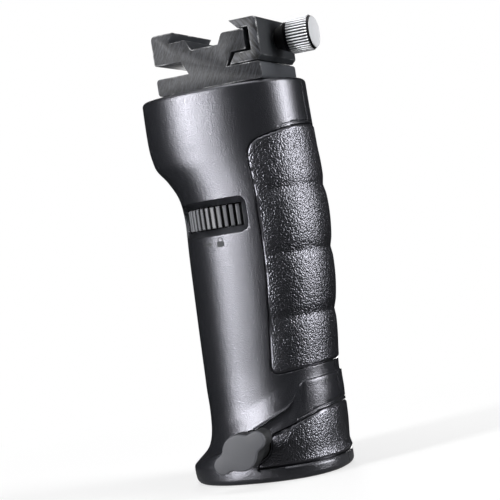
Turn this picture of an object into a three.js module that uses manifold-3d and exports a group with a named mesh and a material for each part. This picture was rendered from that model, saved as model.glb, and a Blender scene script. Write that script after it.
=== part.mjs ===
// Hand grip with a dovetail clamp head, a thumb wheel lock and a stand socket in its foot.
// Millimetres, +Z up; the wheel window and the wing screw face -Y, the clamp screw faces +X.
import * as THREE from 'three';
import { mergeVertices } from 'three/addons/utils/BufferGeometryUtils.js';
import Module from 'manifold-3d';

const wasm = await Module();
wasm.setup();

// Clearances and shared values
const seatGap = 0.3;
const cutOver = 4;
const roundSides = 24;
const smallSides = 14;
const cornerSteps = 4;

// Grip skin: height, half sizes at the waist, roundings
const handleHeight = 128;
const gripHalfWidth = 24;
const gripHalfDepth = 20;
const footEdge = 3.2;
const rimEdge = 1.4;
const wall = 3.4;
const skinSides = 32;
const boreSides = 24;
const sectionPower = 2.35;

// Rows of the skin: share of the height, then left, right and depth shares of the half sizes
const skinShares = [
  [0.000, 1.165, 0.975, 1.110],
  [0.045, 1.200, 0.992, 1.120],
  [0.062, 1.110, 0.966, 1.120],
  [0.079, 0.998, 0.968, 1.120],
  [0.092, 0.935, 0.973, 1.115],
  [0.106, 0.898, 0.980, 1.100],
  [0.125, 0.870, 0.988, 1.075],
  [0.152, 0.855, 0.994, 1.045],
  [0.192, 0.852, 0.998, 1.005],
  [0.241, 0.860, 0.978, 0.980],
  [0.282, 0.858, 0.990, 0.970],
  [0.339, 0.856, 1.025, 0.968],
  [0.457, 0.846, 1.100, 0.975],
  [0.582, 0.830, 1.150, 0.990],
  [0.683, 0.812, 1.170, 1.000],
  [0.738, 0.850, 1.162, 1.010],
  [0.785, 0.980, 1.145, 1.020],
  [0.820, 1.125, 1.132, 1.028],
  [0.845, 1.170, 1.127, 1.033],
  [0.875, 1.196, 1.121, 1.040],
  [0.926, 1.204, 1.112, 1.048],
  [1.000, 1.200, 1.104, 1.050],
];

// Swept crest round the base: share of the half width, then share of the height
const crestShares = [
  [-1.20, 0.057],
  [-0.86, 0.075],
  [-0.53, 0.093],
  [0.02, 0.133],
  [0.39, 0.162],
  [0.58, 0.196],
  [0.76, 0.234],
  [1.02, 0.241],
];
const crestFlare = 1.1;
const crestInset = 0.9;
const crestLedge = 0.6;
const crestLip = 0.7;
const crestBand = 8;
const crestFade = 32.2;
const crestFoot = 4.8;
const crestToe = 7.4;
const crestTop = 48.5;

// Rubber grip pad with finger scallops
const padThickness = 1.5;
const padProud = 0.25;
const padCorner = 4;
const scallopDepth = 0.9;
const scallopPitch = 20.5;
const scallopFirst = 51.5;
const scallopCrease = 3;
const scallopCount = 3;
const scallopSideShares = [0.1, 0.8];
const scallopCreaseShare = 0.3;
// Pad outline: share of the half width, then share of the height
const padShares = [
  [0.370, 0.268],
  [0.500, 0.524],
  [0.520, 0.727],
  [0.490, 0.866],
  [1.400, 0.891],
  [1.400, 0.284],
];

// Rubber band round the foot
const bandThickness = 1.8;
const bandProud = 0.15;
const bandCorner = 0.8;
const bandBossMargin = 1.2;
const bandShares = [
  [0.020, 0.038],
  [0.280, 0.117],
  [0.617, 0.139],
  [1.000, 0.167],
  [1.400, 0.187],
  [1.400, 0.038],
];

// Base plate and its screws
const basePlateThickness = 3;
const baseScrewRadius = 1.4;
const baseScrewHeadRadius = 2.6;
const baseScrewHeadHeight = 1.4;
const baseScrewLength = 9;
const baseScrewShares = [[-0.76, 0], [0.56, 0.5], [0.56, -0.5]];

// Stand socket and its wing screw
const socketX = 0.7;
const socketRadius = 8.1;
const socketWall = 3.4;
const socketDepth = 27;
const socketEnd = 3;
const wingHeight = 12.4;
const studRadius = 3;
const padTipRadius = 3.2;
const padTipLength = 3;
const padTipSetback = 0.6;
const insertRadius = 4.8;
const insertLength = 5.5;
const wingBossRadius = 7.4;
const wingMouthRadius = 5.6;
const wingFaceStandOff = 13.6;
const wingHubRadius = 5.85;
const wingLobeRadius = 2.95;
const wingLobeReach = 7.1;
const wingThickness = 7;
const wingLean = 29;
const wingBlend = 2.4;
const wingEdge = 0.5;
const wingCollarRadius = 5;
const wingCollarSink = 1;

// Thumb wheel, plunger and brake
const wheelX = -2.2;
const wheelY = -5;
const wheelRadius = 14.4;
const wheelHeight = 7;
const wheelDrop = 41.5;
const wheelRibs = 42;
const wheelRibDepth = 0.7;
const wheelHubRadius = 6.5;
const wheelWeb = 3.6;
const wheelRimWall = 3;
const shelfThickness = 2.2;
const windowShares = [-0.508, 0.308];
const windowCorner = 1;
const recessShares = [-0.760, 0.370];
const recessMargin = 1.9;
const recessDepth = 1.5;
const recessSlope = 0.5;
const recessCorner = 2.8;
const plungerRadius = 3;
const plungerFlat = 2.1;
const plungerFoot = 5;
const brakeTravel = 1;
const shoeRadius = 3.8;
const shoeHeight = 3.4;
const shoeCup = 1.2;
const brakeDiscRadius = 11;
const brakeDiscThickness = 3.6;

// Top plate, pivot and friction washer
const topPlateThickness = 3;
const topRimWall = 2.4;
const bushOuterRadius = 7.6;
const bushFlangeRadius = 10;
const bushFlangeThickness = 1.5;
const pivotRadius = 3;
const pivotHeadRadius = 4;
const pivotHeadHeight = 2.6;
const washerThickness = 0.5;
const washerRadius = 9.4;

// Clamp head profile, measured from the head's axis and from the plate's top
const headX = 1.15;
const headDepth = 32.4;
const plateHalfWidth = 18.45;
const plateThickness = 5.7;
const plateCorner = 1.3;
const neckFootHalf = 6.8;
const neckTopHalf = 9;
const slotHeight = 4.3;
const blockHeight = 11;
const jawHeight = 14.3;
const jawOuter = 18.4;
const jawTip = 10.3;
const jawRoot = 12.7;
const jawCorner = 1.7;
const reliefDepth = 3.5;
const reliefHalf = 4.7;
const reliefSlope = 1.7;
const blockRight = 14.2;
const blockCorner = 0.9;
const ledgeCorner = 0.5;

// Movable jaw profile
const jawGap = 1.65;
const jawWall = 3.2;
const jawLipTip = 9.55;
const jawLipRoot = 12.4;
const jawUnderTip = 8;
const jawUnderRoot = 10.2;
const jawChamfer = 1.4;
const jawClose = 0.7;

// Clamp screw
const clampStudRadius = 2.5;
const clampBite = 6.8;
const collarSmallRadius = 3;
const collarLargeRadius = 4.9;
const collarLength = 3.7;
const knobRadius = 5.9;
const knobLength = 9.3;
const knobRidges = 34;
const knobRidgeDepth = 0.35;
const knobChamfer = 0.9;
const knobDish = 0.3;
const guidePinRadius = 1.5;
const guidePinMargin = 5.7;
const guidePinReach = 8;
const guidePinBiteShare = 0.55;

// Shell screws through the rear shell
const shellScrewRadius = 1.4;
const shellScrewHeadRadius = 2.7;
const shellScrewHeadHeight = 1.8;
const shellScrewWell = 4;
const shellBossRadius = 3.6;
const shellScrewBite = 9;
// Screw places: share of the half width, then share of the height
const shellScrewShares = [[-0.80, 0.911], [0.72, 0.935], [-0.48, 0.474], [-0.44, 0.322]];

// Finishes
const finish = (color, roughness, metalness) =>
  new THREE.MeshStandardMaterial({ color, roughness, metalness });
const moulded = finish(0x2f3136, 0.45, 0);
const rubber = finish(0x18191b, 0.85, 0);
const anodised = finish(0x2b2d30, 0.4, 0.8);
const steel = finish(0xb4b6b8, 0.3, 1);
const chrome = finish(0xd8d9da, 0.15, 1);
const brass = finish(0xb08d4c, 0.35, 1);
const greyMoulding = finish(0x6b6d70, 0.5, 0);
const wheelGrey = finish(0x77797c, 0.55, 0);
const nylon = finish(0xd9d6cc, 0.6, 0);

// Solids from geometries and back
function solid(geometry) {
  const bare = geometry.clone();
  bare.deleteAttribute('normal');
  bare.deleteAttribute('uv');
  const merged = mergeVertices(bare, 1e-4);
  return new wasm.Manifold(new wasm.Mesh({
    numProp: 3,
    vertProperties: new Float32Array(merged.attributes.position.array),
    triVerts: new Uint32Array(merged.index.array),
  }));
}

function geometryOf(body) {
  const mesh = body.getMesh();
  const geometry = new THREE.BufferGeometry();
  geometry.setAttribute('position', new THREE.BufferAttribute(new Float32Array(mesh.vertProperties), 3));
  geometry.setIndex(new THREE.BufferAttribute(new Uint32Array(mesh.triVerts), 1));
  geometry.computeVertexNormals();
  return geometry;
}

const join = (first, ...others) => others.reduce((body, other) => body.add(other), first);
const cut = (first, ...others) => others.reduce((body, other) => body.subtract(other), first);
const common = (first, ...others) => others.reduce((body, other) => body.intersect(other), first);

// Outline with a quarter curve in each corner that has a radius: corners are [x, y, radius]
function outline(corners) {
  const shape = new THREE.Shape();
  corners.forEach(([x, y, radius], index) => {
    const here = new THREE.Vector2(x, y);
    const before = new THREE.Vector2(...corners.at(index - 1).slice(0, 2));
    const after = new THREE.Vector2(...corners[(index + 1) % corners.length].slice(0, 2));
    const start = before.sub(here).setLength(radius).add(here);
    const end = after.sub(here).setLength(radius).add(here);
    if (index === 0) shape.moveTo(start.x, start.y);
    else shape.lineTo(start.x, start.y);
    if (radius > 0) shape.quadraticCurveTo(x, y, end.x, end.y);
  });
  shape.closePath();
  return shape;
}

// Prism of an XZ outline between two Y places
function prismY(shape, front, back) {
  const depth = back - front;
  const geometry = new THREE.ExtrudeGeometry(shape, {
    depth,
    bevelEnabled: false,
    curveSegments: cornerSteps,
  });
  geometry.rotateX(Math.PI / 2);
  geometry.translate(0, back, 0);
  return solid(geometry);
}

function box(low, high) {
  const size = new THREE.Vector3(...high).sub(new THREE.Vector3(...low));
  const geometry = new THREE.BoxGeometry(size.x, size.y, size.z);
  geometry.translate(low[0] + size.x / 2, low[1] + size.y / 2, low[2] + size.z / 2);
  return solid(geometry);
}

// Turned body: the profile is [radius, place along the axis], from the axis and back to it
function turned(profile, axis, [x, y, z], sides = roundSides) {
  const geometry = new THREE.LatheGeometry(profile.map(([r, h]) => new THREE.Vector2(r, h)), sides);
  if (axis === 'z') geometry.rotateX(Math.PI / 2);
  if (axis === 'x') geometry.rotateZ(-Math.PI / 2);
  geometry.translate(x, y, z);
  return solid(geometry);
}

const rod = (radius, from, to, axis, place, sides = roundSides) =>
  turned([[0, from], [radius, from], [radius, to], [0, to]], axis, place, sides);

// Smooth value along a table of [place, ...columns] by a cubic through its rows
function along(table, place, column) {
  const last = table.length - 1;
  if (place <= table[0][0]) return table[0][column];
  if (place >= table[last][0]) return table[last][column];
  let row = 0;
  while (table[row + 1][0] < place) row += 1;
  const slope = (index) => {
    const low = Math.max(index - 1, 0);
    const high = Math.min(index + 1, last);
    return (table[high][column] - table[low][column]) / (table[high][0] - table[low][0]);
  };
  const span = table[row + 1][0] - table[row][0];
  const t = (place - table[row][0]) / span;
  const rise = table[row + 1][column] - table[row][column];
  const a = slope(row) * span - rise;
  const b = rise - slope(row + 1) * span;
  return table[row][column] + t * rise + t * (1 - t) * (a * (1 - t) + b * t);
}

// Half sizes of the skin at a height
function section(height) {
  const share = height / handleHeight;
  return {
    left: gripHalfWidth * along(skinShares, share, 1),
    right: gripHalfWidth * along(skinShares, share, 2),
    depth: gripHalfDepth * along(skinShares, share, 3),
  };
}

const power = (value) => Math.sign(value) * Math.abs(value) ** (2 / sectionPower);

function skinPoint(height, angle, offset) {
  const { left, right, depth } = section(height);
  const middle = (right - left) / 2;
  const reach = (right + left) / 2 + offset;
  return [middle + reach * power(Math.cos(angle)), (depth + offset) * power(Math.sin(angle)), height];
}

// Height of the swept crest at an angle round the foot
function crestHeight(angle) {
  const x = skinPoint(crestFoot, angle, 0)[0];
  return handleHeight * along(crestShares, x / gripHalfWidth, 1);
}

// Flare above the crest and inset below it, which turn into a small ledge on the right side
function crestOffset(height, crest, above) {
  const fade = THREE.MathUtils.smoothstep(crestFade - crest, 0, crestBand);
  const toe = THREE.MathUtils.smoothstep(crest, crestToe, crestToe + crestFoot);
  if (above) {
    const run = Math.min((height - crest) / crestBand, 1);
    return crestFlare * fade * toe * (1 - run) ** 2;
  }
  const run = Math.min((crest - height) / crestBand, 1);
  return (crestLedge * (1 - fade) - crestInset * fade * toe) * (1 - run);
}

// Drop of a rounded edge of a radius at a distance from the end face
const edgeDrop = (radius, away) =>
  (away >= radius ? 0 : radius - Math.sqrt(radius ** 2 - (radius - away) ** 2));

// Finger scallops on the right side of the pad
function scallop(height, angle) {
  const phase = (height - scallopFirst) / scallopPitch;
  const nearest = Math.abs(phase - Math.round(phase)) * scallopPitch;
  const count = Math.round(phase);
  const groove = Math.max(0, 1 - nearest / scallopPitch * 2) ** 2;
  const crease = Math.max(0, 1 - nearest / scallopCrease);
  const side = THREE.MathUtils.smoothstep(Math.cos(angle), ...scallopSideShares);
  const drop = groove + scallopCreaseShare * (crease - groove);
  return count < 0 || count >= scallopCount ? 0 : -scallopDepth * side * drop;
}

// Heights of the skin's rows at one angle, as [height, is above the crest]
function rowHeights(angle) {
  const crest = crestHeight(angle);
  const rows = [];
  const run = (from, to, steps, above) => {
    for (let step = 0; step < steps; step += 1) rows.push([from + (to - from) * step / steps, above]);
  };
  const arc = (from, radius, way, steps, above) => {
    for (let step = 0; step < steps; step += 1) {
      const turn = Math.PI / 2 * step / steps;
      rows.push([from + way * radius * (way > 0 ? 1 - Math.cos(turn) : 1 - Math.sin(turn)), above]);
    }
  };
  arc(0, footEdge, 1, 4, false);
  run(footEdge, crestFoot, 1, false);
  run(crestFoot, crest, 3, false);
  rows.push([crest, false]);
  run(crest + crestLip, crestTop, 6, true);
  run(crestTop, handleHeight - rimEdge, 14, true);
  arc(handleHeight, rimEdge, -1, 3, true);
  rows.push([handleHeight, true]);
  return rows;
}

// Closed loft through rows of points, each row a closed ring of the same count
function loft(rows) {
  const sides = rows[0].length;
  const position = [];
  const index = [];
  rows.forEach((ring) => ring.forEach((point) => position.push(...point)));
  for (let row = 0; row < rows.length - 1; row += 1) {
    for (let side = 0; side < sides; side += 1) {
      const a = row * sides + side;
      const b = row * sides + (side + 1) % sides;
      index.push(a, b, b + sides, a, b + sides, a + sides);
    }
  }
  [0, rows.length - 1].forEach((row) => {
    const centre = rows[row].reduce((sum, point) => sum.map((v, axis) => v + point[axis] / sides), [0, 0, 0]);
    const hub = position.length / 3;
    position.push(...centre);
    for (let side = 0; side < sides; side += 1) {
      const a = row * sides + side;
      const b = row * sides + (side + 1) % sides;
      if (row === 0) index.push(hub, b, a);
      else index.push(hub, a, b);
    }
  });
  const geometry = new THREE.BufferGeometry();
  geometry.setAttribute('position', new THREE.Float32BufferAttribute(position, 3));
  geometry.setIndex(index);
  return solid(geometry);
}

// Outer skin of the grip, grown by an offset that may vary over it
function skin(offset, extra = () => 0) {
  const angles = Array.from({ length: skinSides }, (_, side) => Math.PI * 2 * side / skinSides);
  const columns = angles.map((angle) => {
    const crest = crestHeight(angle);
    return rowHeights(angle).map(([height, above]) => {
      const rounded = edgeDrop(footEdge, height) + edgeDrop(rimEdge, handleHeight - height);
      const grown = offset + crestOffset(height, crest, above) + extra(height, angle) - rounded;
      return skinPoint(height, angle, grown);
    });
  });
  return loft(columns[0].map((_, row) => columns.map((column) => column[row])));
}

// Ring of points at one height, set in from the skin
const ringAt = (height, inset, sides) =>
  Array.from({ length: sides }, (_, side) => skinPoint(height, Math.PI * 2 * side / sides, -inset));

// Plain inner form of the grip between two heights, smaller than the skin by a wall
function hollow(low, high, inset, steps) {
  const rows = Array.from({ length: steps + 1 }, (_, step) =>
    ringAt(low + (high - low) * step / steps, inset, boreSides));
  return loft(rows);
}

const far = gripHalfWidth + gripHalfDepth;
const shareOutline = (shares, radius, grow = 0) => {
  const points = shares.map(([x, z]) => [x * gripHalfWidth, z * handleHeight]);
  const mean = (axis) => points.reduce((sum, point) => sum + point[axis] / points.length, 0);
  const [meanX, meanZ] = [mean(0), mean(1)];
  return outline(points.map(([x, z]) =>
    [x + Math.sign(x - meanX) * grow, z + Math.sign(z - meanZ) * grow, radius]));
};

// Places along the stack, worked out from the sizes above
const halfGap = seatGap / 2;
const wheelCentreHeight = handleHeight - wheelDrop;
const headBottom = handleHeight + seatGap;
const plateTop = headBottom + plateThickness;
const clampAxisZ = plateTop + (slotHeight + blockHeight) / 2;
const topPlateBottom = handleHeight - topPlateThickness;
const bushFlangeTop = topPlateBottom - seatGap;
const bushFlangeBottom = bushFlangeTop - bushFlangeThickness;
const washerTop = bushFlangeBottom - seatGap;
const discTop = washerTop - washerThickness - seatGap;
const discBottom = discTop - brakeDiscThickness;
const wheelBottom = wheelCentreHeight - wheelHeight / 2;
const wheelTop = wheelCentreHeight + wheelHeight / 2;
const shoeTop = discBottom - brakeTravel - seatGap;
const shoeBottom = shoeTop - shoeHeight;
const plungerTop = shoeBottom + shoeCup - seatGap;
const plungerBottom = wheelBottom - shelfThickness - seatGap - plungerFoot;
const socketBottom = basePlateThickness + seatGap;
const socketTop = socketBottom + socketDepth;
const bushTop = socketTop + socketEnd;
const socketOuter = socketRadius + socketWall;

// Where the skin's front lies at a place across and a height
function skinFront(x, height) {
  const { left, right, depth } = section(height);
  const share = Math.abs(x - (right - left) / 2) / ((right + left) / 2);
  return -depth * (1 - share ** sectionPower) ** (1 / sectionPower);
}

const wingSeatY = skinFront(socketX, wingHeight);
const wingFaceY = wingSeatY - wingFaceStandOff;
const wingBackY = wingFaceY + wingThickness;

// Shell blanks: both halves share the skin, the hollow and the pockets
const blank = skin(0);
const cavityLow = basePlateThickness + seatGap;
const baseSeat = hollow(-cutOver, cavityLow, wall, 2);
const topSeat = hollow(topPlateBottom - seatGap, handleHeight + cutOver, topRimWall, 2);
const cavity = hollow(cavityLow - seatGap, topPlateBottom, wall, 10);

const padFloor = hollow(0, handleHeight, padThickness, 20);
const padPocketFloor = hollow(0, handleHeight, padThickness + seatGap, 20);
const padPrism = prismY(shareOutline(padShares, padCorner), -far, far);
const padPocketPrism = prismY(shareOutline(padShares, padCorner, seatGap), -far, far);
const bandFloor = hollow(0, crestTop, bandThickness, 8);
const bandPocketFloor = hollow(0, crestTop, bandThickness + seatGap, 8);
const bandBossRadius = wingMouthRadius + bandBossMargin;
const bandPrism = cut(
  prismY(shareOutline(bandShares, bandCorner), -far, far),
  rod(bandBossRadius + seatGap, -far, far, 'y', [socketX, 0, wingHeight]),
);
const bandPocketPrism = cut(
  prismY(shareOutline(bandShares, bandCorner, seatGap), -far, far),
  rod(bandBossRadius, -far, far, 'y', [socketX, 0, wingHeight]),
);

function screwPlaces() {
  return shellScrewShares.map(([x, z]) => [x * gripHalfWidth, z * handleHeight]);
}

// Inner ribs and bosses, cut to the inside of the skin
const inside = hollow(cavityLow + seatGap, topPlateBottom - seatGap, wall / 2, 6);
const shelf = (low, high) => box([-far, -far, low], [far, far, high]);
const wheelShelves = join(
  shelf(wheelBottom - seatGap - shelfThickness, wheelBottom - seatGap),
  shelf(wheelTop + seatGap, wheelTop + seatGap + shelfThickness),
);
const socketShelves = join(
  shelf(socketBottom + seatGap, socketBottom + seatGap + shelfThickness),
  shelf(bushTop - shelfThickness, bushTop),
);
const screwBosses = join(...screwPlaces().map(([x, z]) =>
  rod(shellBossRadius, -far, far, 'y', [x, 0, z], smallSides)));
const ribs = cut(
  common(join(wheelShelves, socketShelves, screwBosses), inside),
  rod(plungerRadius + seatGap, 0, handleHeight, 'z', [wheelX, wheelY, 0], smallSides),
  rod(socketOuter + seatGap, 0, bushTop + seatGap, 'z', [socketX, 0, 0]),
);
const wingBoss = cut(
  common(rod(wingBossRadius, -far, -socketOuter - seatGap, 'y', [socketX, 0, wingHeight]), blank),
  rod(socketOuter + seatGap, 0, bushTop, 'z', [socketX, 0, 0]),
);
const shellBody = join(
  cut(blank, cavity, baseSeat, topSeat),
  ribs,
  wingBoss,
);

// Cuts for the wheel: a shallow recess, a window and room for the wheel
function wheelCuts() {
  const half = wheelHeight / 2 + seatGap;
  const tall = half + recessMargin;
  const rectangle = ([left, right], reach, corner) => outline([
    [left * gripHalfWidth, wheelCentreHeight - reach, corner],
    [right * gripHalfWidth, wheelCentreHeight - reach, corner],
    [right * gripHalfWidth, wheelCentreHeight + reach, corner],
    [left * gripHalfWidth, wheelCentreHeight + reach, corner],
  ]);
  const deep = tall - recessSlope;
  const rings = [[-tall, 0], [-deep, recessDepth], [deep, recessDepth], [tall, 0]];
  const floor = loft(rings.map(([away, inset]) => ringAt(wheelCentreHeight + away, inset, skinSides)));
  const recess = cut(prismY(rectangle(recessShares, tall, recessCorner), -far, wheelY), floor);
  const window = prismY(rectangle(windowShares, half, windowCorner), -far, wheelY);
  const room = rod(
    wheelRadius + seatGap, wheelBottom - seatGap, wheelTop + seatGap, 'z', [wheelX, wheelY, 0],
  );
  return join(recess, window, room);
}

const screwCore = join(...screwPlaces().map(([x, z]) =>
  rod(shellScrewRadius + seatGap, -shellScrewBite - seatGap, far, 'y', [x, 0, z], smallSides)));
const screwWells = join(...screwPlaces().map(([x, z]) =>
  rod(shellScrewHeadRadius + seatGap, -skinFront(x, z) - shellScrewWell, far, 'y', [x, 0, z], smallSides)));
const baseScrewPlaces = baseScrewShares.map(([x, y]) => [x * gripHalfWidth, y * gripHalfDepth]);
const baseBossTop = cavityLow + baseScrewLength + seatGap;
const baseBosses = join(...baseScrewPlaces.map(([x, y]) =>
  rod(shellBossRadius, cavityLow + seatGap, baseBossTop, 'z', [x, y, 0], smallSides)));
const baseBores = join(...baseScrewPlaces.map(([x, y]) =>
  rod(baseScrewRadius + seatGap, 0, cavityLow + baseScrewLength - seatGap, 'z', [x, y, 0], smallSides)));
const pockets = join(
  cut(padPocketPrism, padPocketFloor),
  cut(bandPocketPrism, bandPocketFloor),
);
const dressed = cut(
  join(shellBody, common(baseBosses, inside)),
  pockets,
  wheelCuts(),
  rod(insertRadius + seatGap, -far, -socketRadius, 'y', [socketX, 0, wingHeight], smallSides),
  rod(wingMouthRadius + seatGap, -far, -socketOuter - insertLength - seatGap, 'y', [socketX, 0, wingHeight]),
  screwCore,
  baseBores,
);

const parts = new THREE.Group();

function add(name, body, material) {
  const mesh = new THREE.Mesh(geometryOf(body), material);
  mesh.name = name;
  parts.add(mesh);
}

// Moulded shells, split on the middle plane
add('front_shell', common(
  dressed,
  box([-far, -far, -cutOver], [far, -halfGap, handleHeight + cutOver]),
), moulded);
add('rear_shell', cut(
  common(dressed, box([-far, halfGap, -cutOver], [far, far, handleHeight + cutOver])),
  screwWells,
), moulded);

// Rubber pad and foot band
add('grip_pad', cut(common(skin(padProud, scallop), padPrism), padFloor), rubber);
add('base_band', cut(common(skin(bandProud), bandPrism), bandFloor), rubber);

// Base plate with the socket's mouth, and its screws
const baseWells = join(...baseScrewPlaces.map(([x, y]) =>
  rod(baseScrewHeadRadius + seatGap, -cutOver, baseScrewHeadHeight + seatGap, 'z', [x, y, 0], smallSides)));
add('base_plate', cut(
  hollow(0, basePlateThickness, wall + seatGap, 1),
  rod(socketRadius + seatGap, -cutOver, basePlateThickness + cutOver, 'z', [socketX, 0, 0]),
  baseBores,
  baseWells,
), moulded);
baseScrewPlaces.forEach(([x, y], index) => add(`base_screw_${index + 1}`, turned([
  [0, halfGap],
  [baseScrewHeadRadius, halfGap],
  [baseScrewHeadRadius, baseScrewHeadHeight],
  [baseScrewRadius, baseScrewHeadHeight],
  [baseScrewRadius, baseScrewLength],
  [0, baseScrewLength],
], 'z', [x, y, 0], smallSides), steel));
screwPlaces().forEach(([x, z], index) => {
  const seat = -skinFront(x, z) - shellScrewWell + seatGap;
  add(`shell_screw_${index + 1}`, turned([
    [0, -shellScrewBite],
    [shellScrewRadius, -shellScrewBite],
    [shellScrewRadius, seat],
    [shellScrewHeadRadius, seat],
    [shellScrewHeadRadius, seat + shellScrewHeadHeight],
    [0, seat + shellScrewHeadHeight],
  ], 'y', [x, 0, z], smallSides), steel);
});

// Top plate, pivot bush and washer
add('top_plate', cut(
  hollow(topPlateBottom, handleHeight, topRimWall + seatGap, 1),
  rod(bushOuterRadius + seatGap, topPlateBottom - cutOver, handleHeight + cutOver, 'z', [headX, 0, 0]),
), anodised);
const pivotHole = pivotRadius + seatGap;
add('pivot_bush', turned([
  [pivotHole, bushFlangeBottom],
  [bushFlangeRadius, bushFlangeBottom],
  [bushFlangeRadius, bushFlangeTop],
  [bushOuterRadius, bushFlangeTop],
  [bushOuterRadius, handleHeight],
  [pivotHole, handleHeight],
  [pivotHole, bushFlangeBottom],
], 'z', [headX, 0, 0]), brass);

const ring = (inner, outer, low, high) =>
  [[inner, low], [outer, low], [outer, high], [inner, high], [inner, low]];

// Stand socket, threaded insert, pressure pad and wing screw
const wingPlace = [socketX, 0, wingHeight];
add('spigot_bush', cut(
  turned([
    [0, socketTop],
    [socketRadius, socketTop],
    [socketRadius, socketBottom],
    [socketOuter, socketBottom],
    [socketOuter, bushTop],
    [0, bushTop],
  ], 'z', [socketX, 0, 0]),
  rod(padTipRadius + seatGap, -far, 0, 'y', wingPlace, smallSides),
), steel);
const insertBack = -socketOuter - seatGap;
add('threaded_insert', turned(
  ring(studRadius + seatGap, insertRadius, insertBack - insertLength, insertBack),
  'y', wingPlace, smallSides,
), brass);
const padTipFace = -socketRadius - padTipSetback + seatGap;
const studTip = padTipFace - padTipLength - seatGap;
const padTipBack = padTipFace - padTipLength;
add('pressure_pad', rod(padTipRadius, padTipBack, padTipFace, 'y', wingPlace, smallSides), nylon);
add('wing_stud', rod(studRadius, wingFaceY + wingThickness / 2, studTip, 'y', wingPlace, smallSides), steel);
const collarFront = wingBackY + seatGap;
const collarBack = wingSeatY - seatGap + wingCollarSink;
add('wing_collar', turned(
  ring(studRadius + seatGap, wingCollarRadius, collarFront, collarBack), 'y', wingPlace, smallSides,
), moulded);

// Two-lobed wing outline: hub and lobes joined by soft waists
function wingShape() {
  const reach = wingLobeReach + wingLobeRadius;
  const steps = roundSides * 2;
  const points = [];
  for (let step = 0; step < steps; step += 1) {
    const angle = Math.PI * 2 * step / steps;
    const across = Math.abs(Math.cos(angle));
    const lobe = across > 0 ? lobeEdge(angle) : 0;
    points.push(new THREE.Vector2(Math.cos(angle), Math.sin(angle))
      .multiplyScalar(Math.min(softMax(wingHubRadius, lobe), reach)));
  }
  return new THREE.Shape(points);
}

// Distance from the centre to the lobe's far edge along an angle
function lobeEdge(angle) {
  const along0 = Math.abs(Math.cos(angle)) * wingLobeReach;
  const off = Math.abs(Math.sin(angle)) * wingLobeReach;
  return off >= wingLobeRadius ? 0 : along0 + Math.sqrt(wingLobeRadius ** 2 - off ** 2);
}

const softMax = (a, b) => (b > a ? b : a + Math.max(0, b - a + wingBlend) ** 2 / wingBlend / 4);

function wingKnob() {
  const depth = wingThickness - wingEdge * 2;
  const geometry = new THREE.ExtrudeGeometry(wingShape(), {
    depth,
    bevelEnabled: true,
    bevelThickness: wingEdge,
    bevelSize: wingEdge,
    bevelOffset: -wingEdge,
    bevelSegments: 2,
  });
  geometry.rotateZ(THREE.MathUtils.degToRad(wingLean));
  geometry.rotateX(Math.PI / 2);
  geometry.translate(socketX, wingFaceY + wingThickness - wingEdge, wingHeight);
  return solid(geometry);
}
add('wing_knob', cut(
  wingKnob(),
  rod(studRadius + seatGap, wingFaceY + wingThickness / 2 - seatGap, 0, 'y', wingPlace, smallSides),
), greyMoulding);

// Ribbed thumb wheel with a recessed web
function ribbedOutline(radius, depth, count) {
  const points = [];
  const stepsPerRib = 3;
  for (let step = 0; step < count * stepsPerRib; step += 1) {
    const low = step % stepsPerRib === 0;
    const angle = Math.PI * 2 * step / count / stepsPerRib;
    const reach = low ? radius - depth : radius;
    points.push(new THREE.Vector2(Math.cos(angle) * reach, Math.sin(angle) * reach));
  }
  return new THREE.Shape(points);
}

function prismZ(shape, low, high, [x, y]) {
  const geometry = new THREE.ExtrudeGeometry(shape, { depth: high - low, bevelEnabled: false });
  geometry.translate(x, y, low);
  return solid(geometry);
}

const wheelPlace = [wheelX, wheelY, 0];
const webRing = (low, high) => turned(
  ring(wheelHubRadius, wheelRadius - wheelRimWall, low, high), 'z', wheelPlace, smallSides,
);
add('lock_wheel', cut(
  prismZ(ribbedOutline(wheelRadius, wheelRibDepth, wheelRibs), wheelBottom, wheelTop, wheelPlace),
  rod(plungerRadius + seatGap, wheelBottom - cutOver, wheelTop + cutOver, 'z', wheelPlace, smallSides),
  webRing(wheelBottom - cutOver, wheelCentreHeight - wheelWeb / 2),
  webRing(wheelCentreHeight + wheelWeb / 2, wheelTop + cutOver),
), wheelGrey);

// Brake plunger, shoe, disc and the pivot bolt that carries the head
add('brake_plunger', cut(
  rod(plungerRadius, plungerBottom, plungerTop, 'z', wheelPlace, smallSides),
  box(
    [wheelX - plungerRadius - cutOver, wheelY + plungerFlat, plungerBottom - cutOver],
    [wheelX + plungerRadius + cutOver, wheelY + plungerRadius + cutOver, wheelBottom - seatGap],
  ),
), steel);
add('brake_shoe', turned([
  [0, shoeBottom + shoeCup],
  [plungerRadius + seatGap, shoeBottom + shoeCup],
  [plungerRadius + seatGap, shoeBottom],
  [shoeRadius + seatGap, shoeBottom],
  [shoeRadius + seatGap, shoeTop],
  [0, shoeTop],
], 'z', wheelPlace, smallSides), rubber);
const headPlace = [headX, 0, 0];
const washerBottom = washerTop - washerThickness;
add('friction_washer', turned(ring(pivotHole, washerRadius, washerBottom, washerTop), 'z', headPlace), nylon);
add('brake_disc', turned(ring(pivotHole, brakeDiscRadius, discBottom, discTop), 'z', headPlace), steel);
const reliefFloor = plateTop + blockHeight - reliefDepth;
const pivotHeadTop = reliefFloor - seatGap;
const pivotHeadBottom = pivotHeadTop - pivotHeadHeight;
add('pivot_bolt', turned([
  [0, discBottom],
  [pivotRadius, discBottom],
  [pivotRadius, pivotHeadBottom],
  [pivotHeadRadius, pivotHeadBottom],
  [pivotHeadRadius, pivotHeadTop],
  [0, pivotHeadTop],
], 'z', headPlace, smallSides), steel);

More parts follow.
